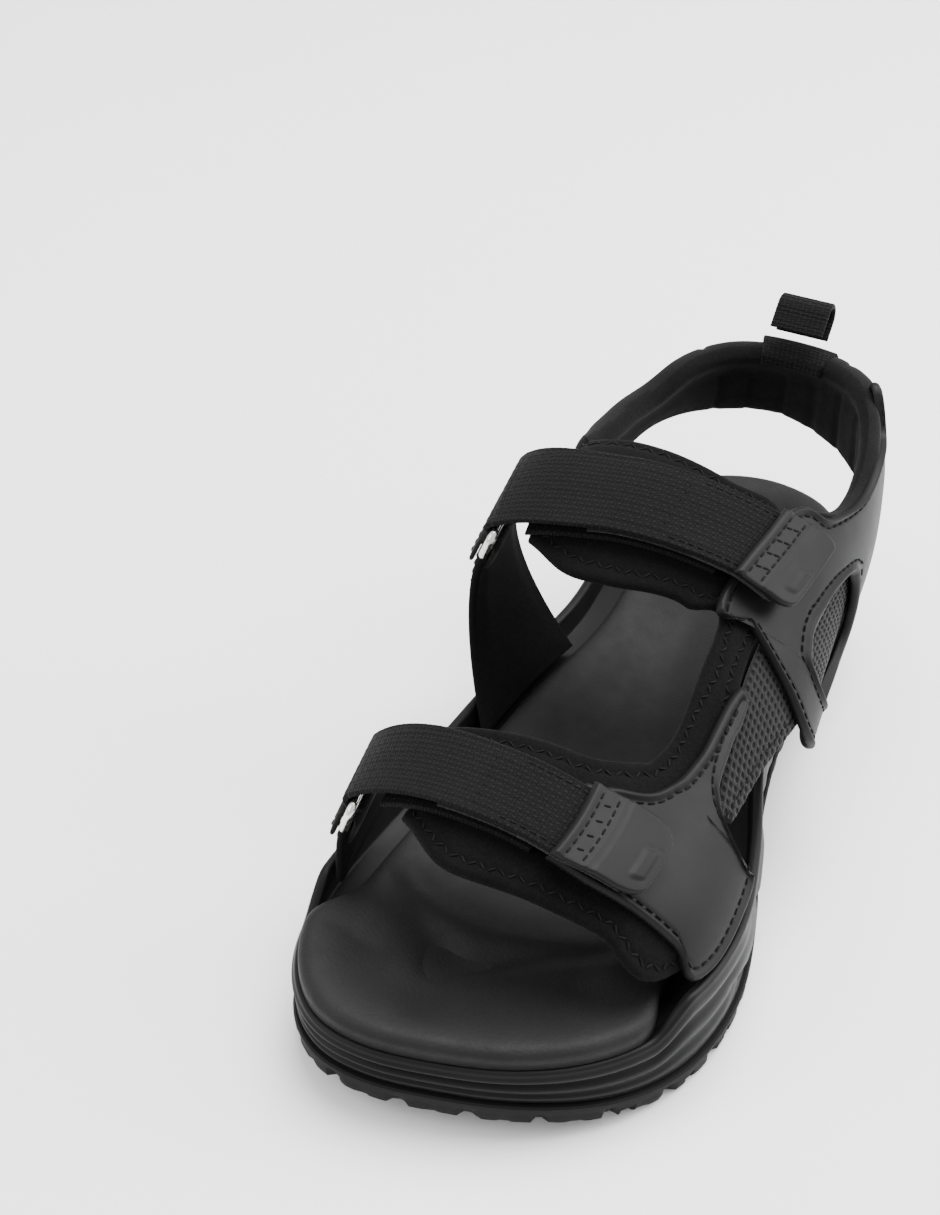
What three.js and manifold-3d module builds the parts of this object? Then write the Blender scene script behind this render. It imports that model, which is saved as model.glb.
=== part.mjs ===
// Strappy sport sandal, left foot. Millimetres, +Z up, toe towards -Y, outer side of the foot towards +X.
// The origin lies on the ground, on the flat middle lug of the outsole.
import * as THREE from "three";
import { mergeVertices } from "three/addons/utils/BufferGeometryUtils.js";
import Module from "manifold-3d";

const wasm = await Module();
wasm.setup();

// ---------------------------------------------------------------- driving dimensions
const TOE_END = -134; // front end of the sole
const HEEL_END = 140; // rear end of the sole
const OUTER_BALL = 64; // half width of the sole at the ball of the foot, outer side
const INNER_BALL = 50; // the same, inner side
const OUTER_HEEL = 37; // half width of the sole at the heel, outer side
const INNER_HEEL = 36; // the same, inner side
const GAP = 0.4; // clearance between neighbouring layers

const TREAD = 7; // thickness of the outsole
const TOE_SPRING = 7; // lift of the toe above the ground
const LEDGE_TOE = 25; // height of the ledge that carries the footbed, at the toe
const LEDGE_HEEL = 33; // the same at the heel
const FOOTBED_RIM = 6; // rim of the footbed above the ledge
const FOOTBED_DISH = 4; // depth of the dish below the rim
const LIP_WIDTH = 2.8; // width of the midsole's side lip
const LIP_RISE = 8; // height of the lip above the ledge
const STRAP_SLOT = 8.5; // width of the slot between lip and footbed that takes the upper
const GROOVE_WIDTH = 4; // cross grooves of the tread
const GROOVE_DEPTH = 3;
const GROOVE_PITCH = 19;

const LINER = 3.8; // thickness of the padded liner
const SHELL = 2.2; // thickness of the moulded overlays
const MESH = 2.6; // thickness of the spacer mesh
const WEB = 1.8; // thickness of the webbing
const PATCH = 1.1; // thickness of the hook and loop patches
const BAR = 1.3; // radius of the ring's wire
const MESH_LIFT = 0.8; // the mesh lies this far above the last
const RING_PITCH = 10; // distance between the two long bars of a ring
const KEEPER_LEG = 4; // length of the keeper's two legs below the bar
const RING_SIDE = 2.6; // from the webbing's edge to the centre of a ring's short side
const RING_CORNER = 3; // radius of a ring's corners
const KEEPER_CLOTH = 1.4; // thickness of the keeper
const FOLD_LEG = 1.2; // how far the webbing's fold overlaps the straight run
const PATCH_INSET = 0.03; // the patches stay inside the webbing's edges, in stations
const TAB_EXTRA = 0.6; // the tab is this much thicker than the webbing
const TAB_WIDEN = 0.02; // and this much wider at each edge, in stations
const EDGE_ROUND = 1.2; // how far the sole's upper edge is rounded in
const KEEPER_SLACK = 0.2; // extra room between keeper and bar
const PAD_SEAT = 0.2; // the inner side pieces' lower ends lie this far off the last
const PAD_BOW = 0.45; // share of their length over which they leave the ring straight

// Where the strips of a strap set start and end, in degrees round the last from the ring or the strap's end.
const LOWER_FROM_RING = 9;
const LOOP_FROM_RING = 30;
const LOOP_FROM_TAB = 5;
const HOOK_FROM_END = 16;
const HOOK_FROM_TAB = 4;
const TAB_FROM_END = 0.7;

// ---------------------------------------------------------------- the last
// The upper is built as layers on one foot-shaped surface. A station is a section plane across the foot that
// tips back towards the ankle; in each plane the section is a super-ellipse in four quadrants.
const STATION_KEYS = [
  "y", "z", "tilt", "middle", "outer", "inner", "top", "bottom", "nOuter", "nInner", "nBottom",
];
const STATIONS = [
  [-110, 24, 0, -4, 47, 41, 34, 16, 2.0, 2.4, 2.3],
  [-75, 27, 0, 1, 54, 46, 38, 16, 1.8, 3.0, 2.3],
  [-35, 35, 0, -3, 58, 43, 40, 20, 1.7, 3.0, 2.2],
  [5, 46, 4, -8, 60, 40, 42, 21, 1.7, 4.0, 1.7],
  [45, 54, 18, -7, 54, 39, 47, 38, 1.8, 3.6, 1.9],
  [80, 64, 35, -3, 46, 35, 48, 46, 2.0, 2.6, 2.2],
  [92, 79, 50, 1, 39, 34, 52, 47, 2.0, 2.2, 2.2],
  [92, 92, 63, 3, 35, 31, 50, 41, 2.0, 2.2, 2.2],
  [90, 104, 74, 4, 33, 29, 48, 37, 2.0, 2.2, 2.2],
];
const BALL_STATION = STATIONS[1];
const OUTER_WALL = 6; // the sole's edge stands this far outside the bare last at the ball, outer side
const INNER_WALL = 8; // the same, inner side
const BALL_SWELL = 3; // the last's widest point lies this far outside the ball station
const LAST_LENGTH = 274; // length of the sole that the stations are drawn for
const LAST_TOE = 25; // ledge heights that they are drawn for
const LAST_HEEL = 33;
const SCALE_Y = (HEEL_END - TOE_END) / LAST_LENGTH;
const SCALE_OUTER = (OUTER_BALL - OUTER_WALL) / (BALL_STATION[3] + BALL_STATION[4] + BALL_SWELL);
const SCALE_INNER = (INNER_BALL - INNER_WALL) / (BALL_STATION[5] - BALL_STATION[3]);

const rad = THREE.MathUtils.degToRad;
const lerp = THREE.MathUtils.lerp;

function smooth(t) {
  return THREE.MathUtils.smoothstep(t, 0, 1);
}

const alongSole = (y) => THREE.MathUtils.clamp((y - TOE_END) / (HEEL_END - TOE_END), 0, 1);
const heelShare = (y) => smooth((alongSole(y) - 0.25) / 0.6);
const seatLift = (y) => lerp(LEDGE_TOE - LAST_TOE, LEDGE_HEEL - LAST_HEEL, heelShare(y));

function station(s) {
  const i = Math.min(Math.max(Math.floor(s), 0), STATIONS.length - 2);
  const t = s - i;
  const row = {};
  STATION_KEYS.forEach((key, k) => {
    const b = STATIONS[i][k];
    const c = STATIONS[i + 1][k];
    const a = i > 0 ? STATIONS[i - 1][k] : 2 * b - c;
    const d = i < STATIONS.length - 2 ? STATIONS[i + 2][k] : 2 * c - b;
    const cubic = (2 * a - 5 * b + 4 * c - d) * t * t + (3 * b - a - 3 * c + d) * t ** 3;
    row[key] = 0.5 * (2 * b + (c - a) * t + cubic);
  });
  return row;
}

// A point of the bare last: s picks the section, phi the direction in it
// (0 outer, 90 top, 180 inner, 270 heel).
function onLast(s, phi) {
  const q = station(s);
  const c = Math.cos(rad(phi));
  const v = Math.sin(rad(phi));
  const a = c >= 0 ? q.outer : q.inner;
  const b = v >= 0 ? q.top : q.bottom;
  const upper = c >= 0 ? q.nOuter : q.nInner;
  const n = v >= 0 ? upper : q.nBottom;
  const r = ((Math.abs(c) / a) ** n + (Math.abs(v) / b) ** n) ** (-1 / n);
  const x = q.middle + r * c;
  const u = r * v;
  return new THREE.Vector3(
    x * (x > 0 ? SCALE_OUTER : SCALE_INNER),
    (q.y - u * Math.sin(rad(q.tilt))) * SCALE_Y,
    q.z + seatLift(q.y * SCALE_Y) + u * Math.cos(rad(q.tilt)),
  );
}

function frameOnLast(s, phi) {
  const point = onLast(s, phi);
  const along = onLast(s + 0.01, phi).sub(onLast(s - 0.01, phi)).normalize();
  const around = onLast(s, phi + 0.3).sub(onLast(s, phi - 0.3)).normalize();
  const normal = new THREE.Vector3().crossVectors(along, around).normalize();
  return { point, around, normal };
}

function above(s, phi, height) {
  const { point, normal } = frameOnLast(s, phi);
  return point.addScaledVector(normal, height);
}

// ---------------------------------------------------------------- solids
function volume(points, faces) {
  let sum = 0;
  for (const [a, b, c] of faces) {
    sum += points[a].dot(new THREE.Vector3().crossVectors(points[b], points[c]));
  }
  return sum / 6;
}

function solid(points, faces) {
  const outward = volume(points, faces) > 0 ? faces : faces.map(([a, b, c]) => [a, c, b]);
  const geometry = new THREE.BufferGeometry();
  geometry.setAttribute("position", new THREE.Float32BufferAttribute(points.flatMap((p) => p.toArray()), 3));
  geometry.setIndex(outward.flat());
  geometry.computeVertexNormals();
  return geometry;
}

// A closed shell between two grids of points, top[i][j] and bottom[i][j].
// ring joins the last row to the first.
function slab(top, bottom, ring = false) {
  const rows = top.length;
  const columns = top[0].length;
  const points = [...top.flat(), ...bottom.flat()];
  const at = (layer, i, j) => layer * rows * columns + (i % rows) * columns + j;
  const faces = [];
  const quad = (a, b, c, d) => faces.push([a, b, c], [a, c, d]);
  const last = ring ? rows : rows - 1;
  for (let i = 0; i < last; i++) {
    for (let j = 0; j < columns - 1; j++) {
      quad(at(0, i, j), at(0, i + 1, j), at(0, i + 1, j + 1), at(0, i, j + 1));
      quad(at(1, i, j), at(1, i, j + 1), at(1, i + 1, j + 1), at(1, i + 1, j));
    }
    quad(at(0, i, 0), at(1, i, 0), at(1, i + 1, 0), at(0, i + 1, 0));
    const end = columns - 1;
    quad(at(0, i, end), at(0, i + 1, end), at(1, i + 1, end), at(1, i, end));
  }
  if (!ring) {
    for (let j = 0; j < columns - 1; j++) {
      quad(at(0, 0, j), at(0, 0, j + 1), at(1, 0, j + 1), at(1, 0, j));
      quad(at(0, rows - 1, j), at(1, rows - 1, j), at(1, rows - 1, j + 1), at(0, rows - 1, j + 1));
    }
  }
  return solid(points, faces);
}

function curveOf(pairs, closed = false) {
  return new THREE.CatmullRomCurve3(pairs.map(([s, phi]) => new THREE.Vector3(s, phi, 0)), closed);
}

// A layer of the upper: ruled between two edges drawn on the last, from height low to height high.
function layer(edgeA, edgeB, low, high, rows, columns, ring = false) {
  const a = curveOf(edgeA, ring);
  const b = curveOf(edgeB, ring);
  const heightOf = (h, u, v) => (typeof h === "function" ? h(u, v) : h);
  const grid = (h) =>
    Array.from({ length: ring ? rows : rows + 1 }, (_, i) => {
      const u = i / rows;
      const from = a.getPoint(u);
      const to = b.getPoint(u);
      return Array.from({ length: columns + 1 }, (_, j) => {
        const v = j / columns;
        return above(lerp(from.x, to.x, v), lerp(from.y, to.y, v), heightOf(h, u, v));
      });
    });
  return slab(grid(high), grid(low), ring);
}

// ---------------------------------------------------------------- sole
// Plan of the sole from the back of the heel round the outer side, the toe and the inner side.
const SOLE_SIDE_STEPS = 20;
const OUTER_SIDE = [
  [0, HEEL_END],
  [OUTER_HEEL * 0.62, HEEL_END - 8],
  [OUTER_HEEL * 0.97, HEEL_END - 34],
  [OUTER_HEEL, HEEL_END - 66],
  [OUTER_HEEL + 1, HEEL_END - 95],
  [OUTER_BALL - 18, 6 * SCALE_Y],
  [OUTER_BALL - 7, -26 * SCALE_Y],
  [OUTER_BALL, -58 * SCALE_Y],
  [OUTER_BALL - 3, -86 * SCALE_Y],
  [OUTER_BALL - 17, TOE_END + 24],
  [OUTER_BALL - 39, TOE_END + 9],
  [-8, TOE_END],
];
const INNER_SIDE = [
  [0, HEEL_END],
  [-INNER_HEEL * 0.62, HEEL_END - 8],
  [-INNER_HEEL * 0.97, HEEL_END - 34],
  [-INNER_HEEL, HEEL_END - 66],
  [-INNER_HEEL + 1, HEEL_END - 95],
  [-INNER_BALL + 8, 10 * SCALE_Y],
  [-INNER_BALL + 4, -26 * SCALE_Y],
  [-INNER_BALL, -62 * SCALE_Y],
  [-INNER_BALL - 0.5, -94 * SCALE_Y],
  [-INNER_BALL + 7, TOE_END + 17],
  [-INNER_BALL + 22, TOE_END + 2.5],
  [-8, TOE_END],
];
const outerCurve = curveOf(OUTER_SIDE);
const innerCurve = curveOf(INNER_SIDE);

function planPoint(k) {
  const n = SOLE_SIDE_STEPS;
  const turn = k <= n ? outerCurve.getPoint(k / n) : innerCurve.getPoint((2 * n - k) / n);
  return new THREE.Vector2(turn.x, turn.y);
}

// The plan pulled in by a distance that may vary along the sole.
function planRing(inset, height) {
  const count = 2 * SOLE_SIDE_STEPS;
  return Array.from({ length: count }, (_, k) => {
    const before = planPoint((k + count - 1) % count);
    const after = planPoint((k + 1) % count);
    const here = planPoint(k);
    const inward = new THREE.Vector2(after.y - before.y, before.x - after.x).normalize().negate();
    const spot = here.clone().addScaledVector(inward, -inset(here));
    return new THREE.Vector3(spot.x, spot.y, height(here));
  });
}

// A solid from stacked rings of the plan; both ends are closed by strips from side to side.
function stacked(rings) {
  const count = rings[0].length;
  const points = rings.flat();
  const faces = [];
  for (let r = 0; r < rings.length - 1; r++) {
    for (let k = 0; k < count; k++) {
      const next = (k + 1) % count;
      faces.push([r * count + k, r * count + next, (r + 1) * count + next]);
      faces.push([r * count + k, (r + 1) * count + next, (r + 1) * count + k]);
    }
  }
  const cap = (base, flip) => {
    const add = (a, b, c) => {
      const face = flip ? [a, c, b] : [a, b, c];
      faces.push(face.map((k) => base + k));
    };
    add(0, count - 1, 1);
    for (let k = 1; k < SOLE_SIDE_STEPS - 1; k++) {
      add(k, count - k, count - k - 1);
      add(k, count - k - 1, k + 1);
    }
    add(SOLE_SIDE_STEPS - 1, SOLE_SIDE_STEPS + 1, SOLE_SIDE_STEPS);
  };
  cap(0, false);
  cap((rings.length - 1) * count, true);
  return solid(points, faces);
}

const toeLift = (y) => TOE_SPRING * smooth((0.2 - alongSole(y)) / 0.2) ** 1.5;
const heelLift = (y) => 2 * smooth((alongSole(y) - 0.93) / 0.07);
const groundAt = (p) => toeLift(p.y) + heelLift(p.y);
const treadTopAt = (p) => TREAD + groundAt(p);
const ledgeAt = (p) => lerp(LEDGE_TOE, LEDGE_HEEL, heelShare(p.y));
const rimAt = (p) => ledgeAt(p) + FOOTBED_RIM;
const dishAt = (p) => rimAt(p) - FOOTBED_DISH;
// Share of the side that carries the upper: none at the toe, all along the strap roots, none at the back.
const sideShare = (p) => {
  const t = alongSole(p.y);
  return smooth((t - 0.125) / 0.055) * smooth((0.93 - t) / 0.08);
};
const lipTopAt = (p) => ledgeAt(p) + LIP_RISE * sideShare(p);
const lipInset = () => EDGE_ROUND + LIP_WIDTH;
const footbedInset = (p) => 2 + (LIP_WIDTH + STRAP_SLOT - 0.5) * sideShare(p);

function outsole() {
  const blank = stacked([
    planRing(() => 4, groundAt),
    planRing(() => EDGE_ROUND, (p) => groundAt(p) + EDGE_ROUND),
    planRing(() => 0.4, (p) => groundAt(p) + 4),
    planRing(() => 0.6, treadTopAt),
  ]);
  let body = manifold(blank);
  const first = Math.ceil((TOE_END + 12) / GROOVE_PITCH);
  const final = Math.floor((HEEL_END - 12) / GROOVE_PITCH);
  for (let k = first; k <= final; k++) {
    const middle = (k + 0.5) * GROOVE_PITCH;
    const floor = groundAt({ y: middle }) + GROOVE_DEPTH;
    const cut = new THREE.BoxGeometry(3 * OUTER_BALL, GROOVE_WIDTH, 20);
    cut.translate(0, middle, floor - 10);
    body = body.subtract(manifold(cut));
  }
  return geometryOf(body);
}

function midsole() {
  const low = (p) => treadTopAt(p) + GAP;
  return stacked([
    planRing(() => 1.5, low),
    planRing(() => 0, (p) => lerp(low(p), ledgeAt(p), 0.35)),
    planRing(() => 0.2, (p) => lerp(low(p), lipTopAt(p), 0.8)),
    planRing(() => EDGE_ROUND, lipTopAt),
    planRing(lipInset, (p) => lipTopAt(p) - 0.2),
    planRing((p) => lipInset(p) + 0.4, ledgeAt),
  ]);
}

function footbed() {
  return stacked([
    planRing((p) => footbedInset(p) + 0.8, (p) => ledgeAt(p) + 2 * GAP),
    planRing(footbedInset, (p) => ledgeAt(p) + 2),
    planRing((p) => footbedInset(p) + 0.5, rimAt),
    planRing((p) => footbedInset(p) + 3, (p) => rimAt(p) - 0.4),
    planRing((p) => footbedInset(p) + 10, dishAt),
  ]);
}

// ---------------------------------------------------------------- booleans
function manifold(geometry) {
  const bare = geometry.clone();
  bare.deleteAttribute("normal");
  bare.deleteAttribute("uv");
  const merged = mergeVertices(bare, 1e-4);
  return new wasm.Manifold(
    new wasm.Mesh({
      numProp: 3,
      vertProperties: merged.attributes.position.array,
      triVerts: new Uint32Array(merged.index.array),
    }),
  );
}

function geometryOf(body) {
  const mesh = body.getMesh();
  const geometry = new THREE.BufferGeometry();
  geometry.setAttribute("position", new THREE.BufferAttribute(mesh.vertProperties, 3));
  geometry.setIndex(new THREE.BufferAttribute(mesh.triVerts, 1));
  geometry.computeVertexNormals();
  return geometry;
}

// ---------------------------------------------------------------- heights of the layers above the last
const SHELL_LOW = LINER + GAP;
const SHELL_HIGH = SHELL_LOW + SHELL;
const LOOP_LOW = SHELL_HIGH + GAP;
const HOOK_LOW = LOOP_LOW + PATCH + GAP;
const TOP_WEB_LOW = HOOK_LOW + PATCH + GAP;
const LOW_WEB_LOW = LINER + GAP;
const BAR_HEIGHT = (TOP_WEB_LOW + LOW_WEB_LOW + WEB) / 2;
const FOLD_INNER = TOP_WEB_LOW - BAR_HEIGHT;

// ---------------------------------------------------------------- upper, on the last (station, direction)
function vampLiner() {
  const window = [
    [1.5, 126], [1.56, 96], [1.6, 68], [1.68, 58], [1.75, 52], [1.85, 47],
    [2.3, 42], [2.9, 41], [3.05, 54], [2.9, 84], [2.9, 104], [3.1, 120],
  ];
  const outside = [
    [0.68, 126], [0.36, 100], [0.4, 58], [0.5, 36], [0.68, 12], [1.3, 7],
    [1.72, 24], [3.3, 30], [4.4, 44], [4.5, 66], [4.6, 100], [4.5, 120],
  ];
  return layer(window, outside, 0, LINER, 48, 6);
}

function sideMesh() {
  const upper = [[1.86, 22.5], [2.4, 26], [2.9, 27], [3.22, 27.5]];
  const lower = [[1.92, 16], [2.35, 13], [2.8, 8], [3.12, 4]];
  return layer(upper, lower, MESH_LIFT, MESH_LIFT + MESH, 8, 4);
}

function frontOverlay() {
  const top = [
    [1.36, 67], [1.4, 61], [1.45, 56], [1.5, 50], [1.55, 46], [1.6, 43.5], [1.66, 41.5],
    [1.73, 39.5], [1.82, 37.5], [1.93, 36], [2.1, 34.2], [2.3, 33], [2.52, 31.6], [2.72, 29.5],
  ];
  const round = [
    [0.7, 66], [0.7, 50], [0.76, 35], [0.84, 18], [0.93, 5.5], [1.25, 4], [1.56, 4],
    [1.68, 9], [1.74, 17], [1.86, 23.5], [2.08, 26], [2.3, 26], [2.5, 25], [2.68, 25.2],
  ];
  return layer(round, top, SHELL_LOW, SHELL_HIGH, 36, 6);
}

const TEARDROP = [
  [4.46, 8], [4.46, 9.5], [4.43, 11], [4.3, 13.2], [4.0, 15.5], [3.7, 16], [3.45, 13.5],
  [3.34, 8], [3.36, 3], [3.45, -2], [3.65, -5.5], [3.95, -6], [4.25, -2], [4.42, 4],
];

function rearOverlay() {
  const outline = [
    [7.4, -46], [6.95, -24], [6.3, 0], [5.5, 17], [4.75, 31], [4.2, 46], [3.42, 47],
    [3.22, 35], [3.02, 17], [2.95, 5], [3.1, -3], [3.8, -13], [5.2, -30], [6.15, -46],
  ];
  return layer(TEARDROP, outline, SHELL_LOW, SHELL_HIGH, 42, 6, true);
}

function rearMesh() {
  const upper = [[3.3, 19], [3.9, 19], [4.6, 14]];
  const lower = [[3.45, -9], [4.0, -11], [4.7, -8]];
  return layer(upper, lower, MESH_LIFT, MESH_LIFT + MESH, 6, 4);
}

// The collar: lining, foam and outer fabric run from the outer side round the heel to the inner side.
const COLLAR_TOP = [
  [4.72, 39], [5.0, 27], [5.5, 18], [6.3, 3], [7.1, -18], [7.75, -40], [8.0, -65],
  [7.95, -92], [7.85, -120], [7.5, -145], [6.8, -170], [6.1, -198], [5.4, -217], [4.75, -228],
];
const COLLAR_BOTTOM = [
  [4.68, 22], [4.78, 8], [5.0, 0], [5.3, -14], [5.7, -34], [6.1, -48], [6.5, -68],
  [6.75, -92], [6.6, -118], [6.3, -142], [5.8, -167], [5.3, -184], [4.9, -197], [4.6, -206],
];
const COLLAR_LINING = 1.1; // thickness of the lining
const COLLAR_CLOTH = 1.4; // thickness of the outer fabric

function collarLayer(low, high, from, to, rows) {
  const top = curveOf(COLLAR_TOP);
  const bottom = curveOf(COLLAR_BOTTOM);
  const cut = (curve) =>
    Array.from({ length: rows + 1 }, (_, i) => curve.getPoint(lerp(from, to, i / rows)).toArray());
  return layer(cut(top), cut(bottom), low, high, rows, 3);
}

const HEEL_FROM = 0.415; // where the heel patch starts and ends, along the collar
const HEEL_TO = 0.66;
const JOIN = 0.006; // seam clearance along the collar

// ---------------------------------------------------------------- strap sets
// Each set: the webbing runs from the inner ring (direction ringPhi) across the foot to its tab.
// skew turns the ring, so that its front and rear ends lie in slightly different directions.
const FRONT = {
  name: "front",
  ring: [0.76, 1.38],
  ringPhi: 143,
  skew: [-1, 1],
  endPhi: 62,
  end: [0.68, 1.26],
  tabPhi: 37,
  tab: [0.76, 1.3],
  anchorPhi: 72,
};
const INSTEP = {
  name: "instep",
  ring: [3.08, 3.96],
  ringPhi: 128,
  skew: [0, 0],
  endPhi: 46,
  end: [3.42, 4.24],
  tabPhi: 30,
  tab: [3.42, 4.3],
  anchorPhi: 52,
};

// Where the inner side pieces meet the sole: the front one on the last, the instep one in the slot beside the
// footbed.
const FRONT_ROOT = [[0.66, 173], [1.05, 171], [1.5, 169]];
const INSTEP_SEAT_FROM = -14 * SCALE_Y; // the instep piece's lower edge runs from here along the sole
const INSTEP_SEAT_TO = 32 * SCALE_Y; // to here
const SEAT_INSET = 9.9; // from the sole's inner edge
const SEAT_RISE = 3.4; // above the ledge

function lastSeat(pairs) {
  const line = curveOf(pairs);
  return (u) => {
    const spot = line.getPoint(u);
    const { point, normal } = frameOnLast(spot.x, spot.y);
    return { point: point.addScaledVector(normal, SIDE_PAD / 2 + PAD_SEAT), normal };
  };
}

function slotSeat(u) {
  const y = lerp(INSTEP_SEAT_FROM, INSTEP_SEAT_TO, u);
  let behind = 0;
  let ahead = 1;
  for (let k = 0; k < 24; k++) {
    const t = (behind + ahead) / 2;
    if (innerCurve.getPoint(t).y > y) {
      behind = t;
    } else {
      ahead = t;
    }
  }
  const x = innerCurve.getPoint(behind).x + SEAT_INSET;
  return { point: new THREE.Vector3(x, y, ledgeAt({ y }) + SEAT_RISE), normal: new THREE.Vector3(-1, 0, 0) };
}
const SIDE_PAD = 2.8;

// A strip of the last between two directions, with the front and rear edges of a strap set.
function strip(set, fromPhi, toPhi, low, high, rows, columns, widen = 0) {
  const edge = (k) => {
    const at = (phi) => {
      if (phi < set.endPhi) {
        const t = (set.endPhi - phi) / (set.endPhi - set.tabPhi);
        return lerp(set.end[k], set.tab[k], t);
      }
      return lerp(set.ring[k], set.end[k], (set.ringPhi - phi) / (set.ringPhi - set.endPhi));
    };
    const shift = k === 0 ? -widen : widen;
    return Array.from({ length: rows + 1 }, (_, i) => {
      const phi = lerp(fromPhi, toPhi, i / rows);
      const toRing = THREE.MathUtils.clamp((phi - set.endPhi) / (set.ringPhi - set.endPhi), 0, 1);
      return [at(phi) + shift, phi + set.skew[k] * toRing];
    });
  };
  return layer(edge(0), edge(1), low, high, rows, columns);
}

const RING_HANG = 0.55; // 0: a ring lies along the side of the foot, 1: it hangs straight down

// The ends of a ring's upper bar. out and down are the foot's own directions there; hang and face are the
// ring's: it hangs steeper than the side of the foot.
function ringFrame(set) {
  const ends = set.ring.map((s, k) => {
    const phi = set.ringPhi + set.skew[k];
    return { centre: above(s, phi, BAR_HEIGHT), around: frameOnLast(s, phi).around };
  });
  const axis = ends[1].centre.clone().sub(ends[0].centre).normalize();
  const down = ends[0].around.clone().add(ends[1].around).normalize();
  down.addScaledVector(axis, -down.dot(axis)).normalize();
  const out = new THREE.Vector3().crossVectors(axis, down).normalize();
  const hang = down.clone().lerp(new THREE.Vector3(0, 0, -1), RING_HANG);
  hang.addScaledVector(axis, -hang.dot(axis)).normalize();
  const face = new THREE.Vector3().crossVectors(axis, hang).normalize();
  return { ends: ends.map((e) => e.centre), axis, down, out, hang, face };
}

// A strip bent round a bar: a ruled half tube from angle a0 to a1, with straight legs of the given lengths.
function bend(ends, out, down, inner, outer, a0, a1, legs) {
  const steps = 7;
  const section = [[a0, -legs[0]]];
  for (let k = 0; k <= steps; k++) {
    section.push([lerp(a0, a1, k / steps), 0]);
  }
  section.push([a1, -legs[1]]);
  const grid = (radius) =>
    section.map(([angle, slide], index) => {
      const way = index === 0 ? 1 : -1;
      const u = radius * Math.cos(angle) - Math.sin(angle) * slide * way;
      const v = radius * Math.sin(angle) + Math.cos(angle) * slide * way;
      return ends.map((end) => end.clone().addScaledVector(out, u).addScaledVector(down, v));
    });
  return slab(grid(outer), grid(inner));
}

function upperStrap(set) {
  const { ends, out, down } = ringFrame(set);
  const run = manifold(strip(set, set.ringPhi, set.endPhi, TOP_WEB_LOW, TOP_WEB_LOW + WEB, 12, 3));
  const turn = bend(ends, out, down, FOLD_INNER, FOLD_INNER + WEB, 0, Math.PI, [FOLD_LEG, 0]);
  return geometryOf(run.add(manifold(turn)));
}

function lowerStrap(set) {
  const start = set.ringPhi - LOWER_FROM_RING;
  return strip(set, start, set.anchorPhi, LOW_WEB_LOW, LOW_WEB_LOW + WEB, 10, 3);
}

function loopPatch(set) {
  const start = set.ringPhi - LOOP_FROM_RING;
  const end = set.tabPhi + LOOP_FROM_TAB;
  return strip(set, start, end, LOOP_LOW, LOOP_LOW + PATCH, 10, 2, -PATCH_INSET);
}

function hookPatch(set) {
  const start = set.endPhi + HOOK_FROM_END;
  const end = set.tabPhi + HOOK_FROM_TAB;
  return strip(set, start, end, HOOK_LOW, HOOK_LOW + PATCH, 6, 2, -PATCH_INSET);
}

function tab(set) {
  const high = TOP_WEB_LOW + WEB + TAB_EXTRA;
  return strip(set, set.endPhi - TAB_FROM_END, set.tabPhi, TOP_WEB_LOW, high, 6, 3, TAB_WIDEN);
}

// A ring of round wire: a rectangle with round corners round both bars.
function ring(set) {
  const { ends, axis, hang } = ringFrame(set);
  const half = ends[0].distanceTo(ends[1]) / 2 + RING_SIDE;
  const middle = ends[0].clone().add(ends[1]).multiplyScalar(0.5);
  const corner = RING_CORNER;
  const outline = new THREE.Shape();
  outline.moveTo(-half + corner, 0);
  outline.lineTo(half - corner, 0);
  outline.absarc(half - corner, corner, corner, -Math.PI / 2, 0);
  outline.lineTo(half, RING_PITCH - corner);
  outline.absarc(half - corner, RING_PITCH - corner, corner, 0, Math.PI / 2);
  outline.lineTo(-half + corner, RING_PITCH);
  outline.absarc(-half + corner, RING_PITCH - corner, corner, Math.PI / 2, Math.PI);
  outline.lineTo(-half, corner);
  outline.absarc(-half + corner, corner, corner, Math.PI, 1.5 * Math.PI);
  const route = outline
    .getPoints(3)
    .map((p) => middle.clone().addScaledVector(axis, p.x).addScaledVector(hang, p.y));
  const wire = new THREE.Vector3().crossVectors(axis, hang);
  const sides = 8;
  const path = route.filter((p, k) => k === 0 || p.distanceTo(route[k - 1]) > 1e-3);
  if (path[0].distanceTo(path[path.length - 1]) < 1e-3) {
    path.pop();
  }
  const count = path.length;
  const loops = path.map((p, k) => {
    const forward = path[(k + 1) % count].clone().sub(path[(k + count - 1) % count]).normalize();
    const side = new THREE.Vector3().crossVectors(forward, wire).normalize();
    return Array.from({ length: sides }, (_, j) => {
      const turn = ((j + 0.5) / sides) * 2 * Math.PI;
      const spot = p.clone().addScaledVector(side, BAR * Math.cos(turn));
      return spot.addScaledVector(wire, BAR * Math.sin(turn));
    });
  });
  const faces = [];
  for (let k = 0; k < count; k++) {
    for (let j = 0; j < sides; j++) {
      const a = k * sides + j;
      const b = k * sides + ((j + 1) % sides);
      const c = ((k + 1) % count) * sides + ((j + 1) % sides);
      const d = ((k + 1) % count) * sides + j;
      faces.push([a, b, c], [a, c, d]);
    }
  }
  return solid(loops.flat(), faces);
}

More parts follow.
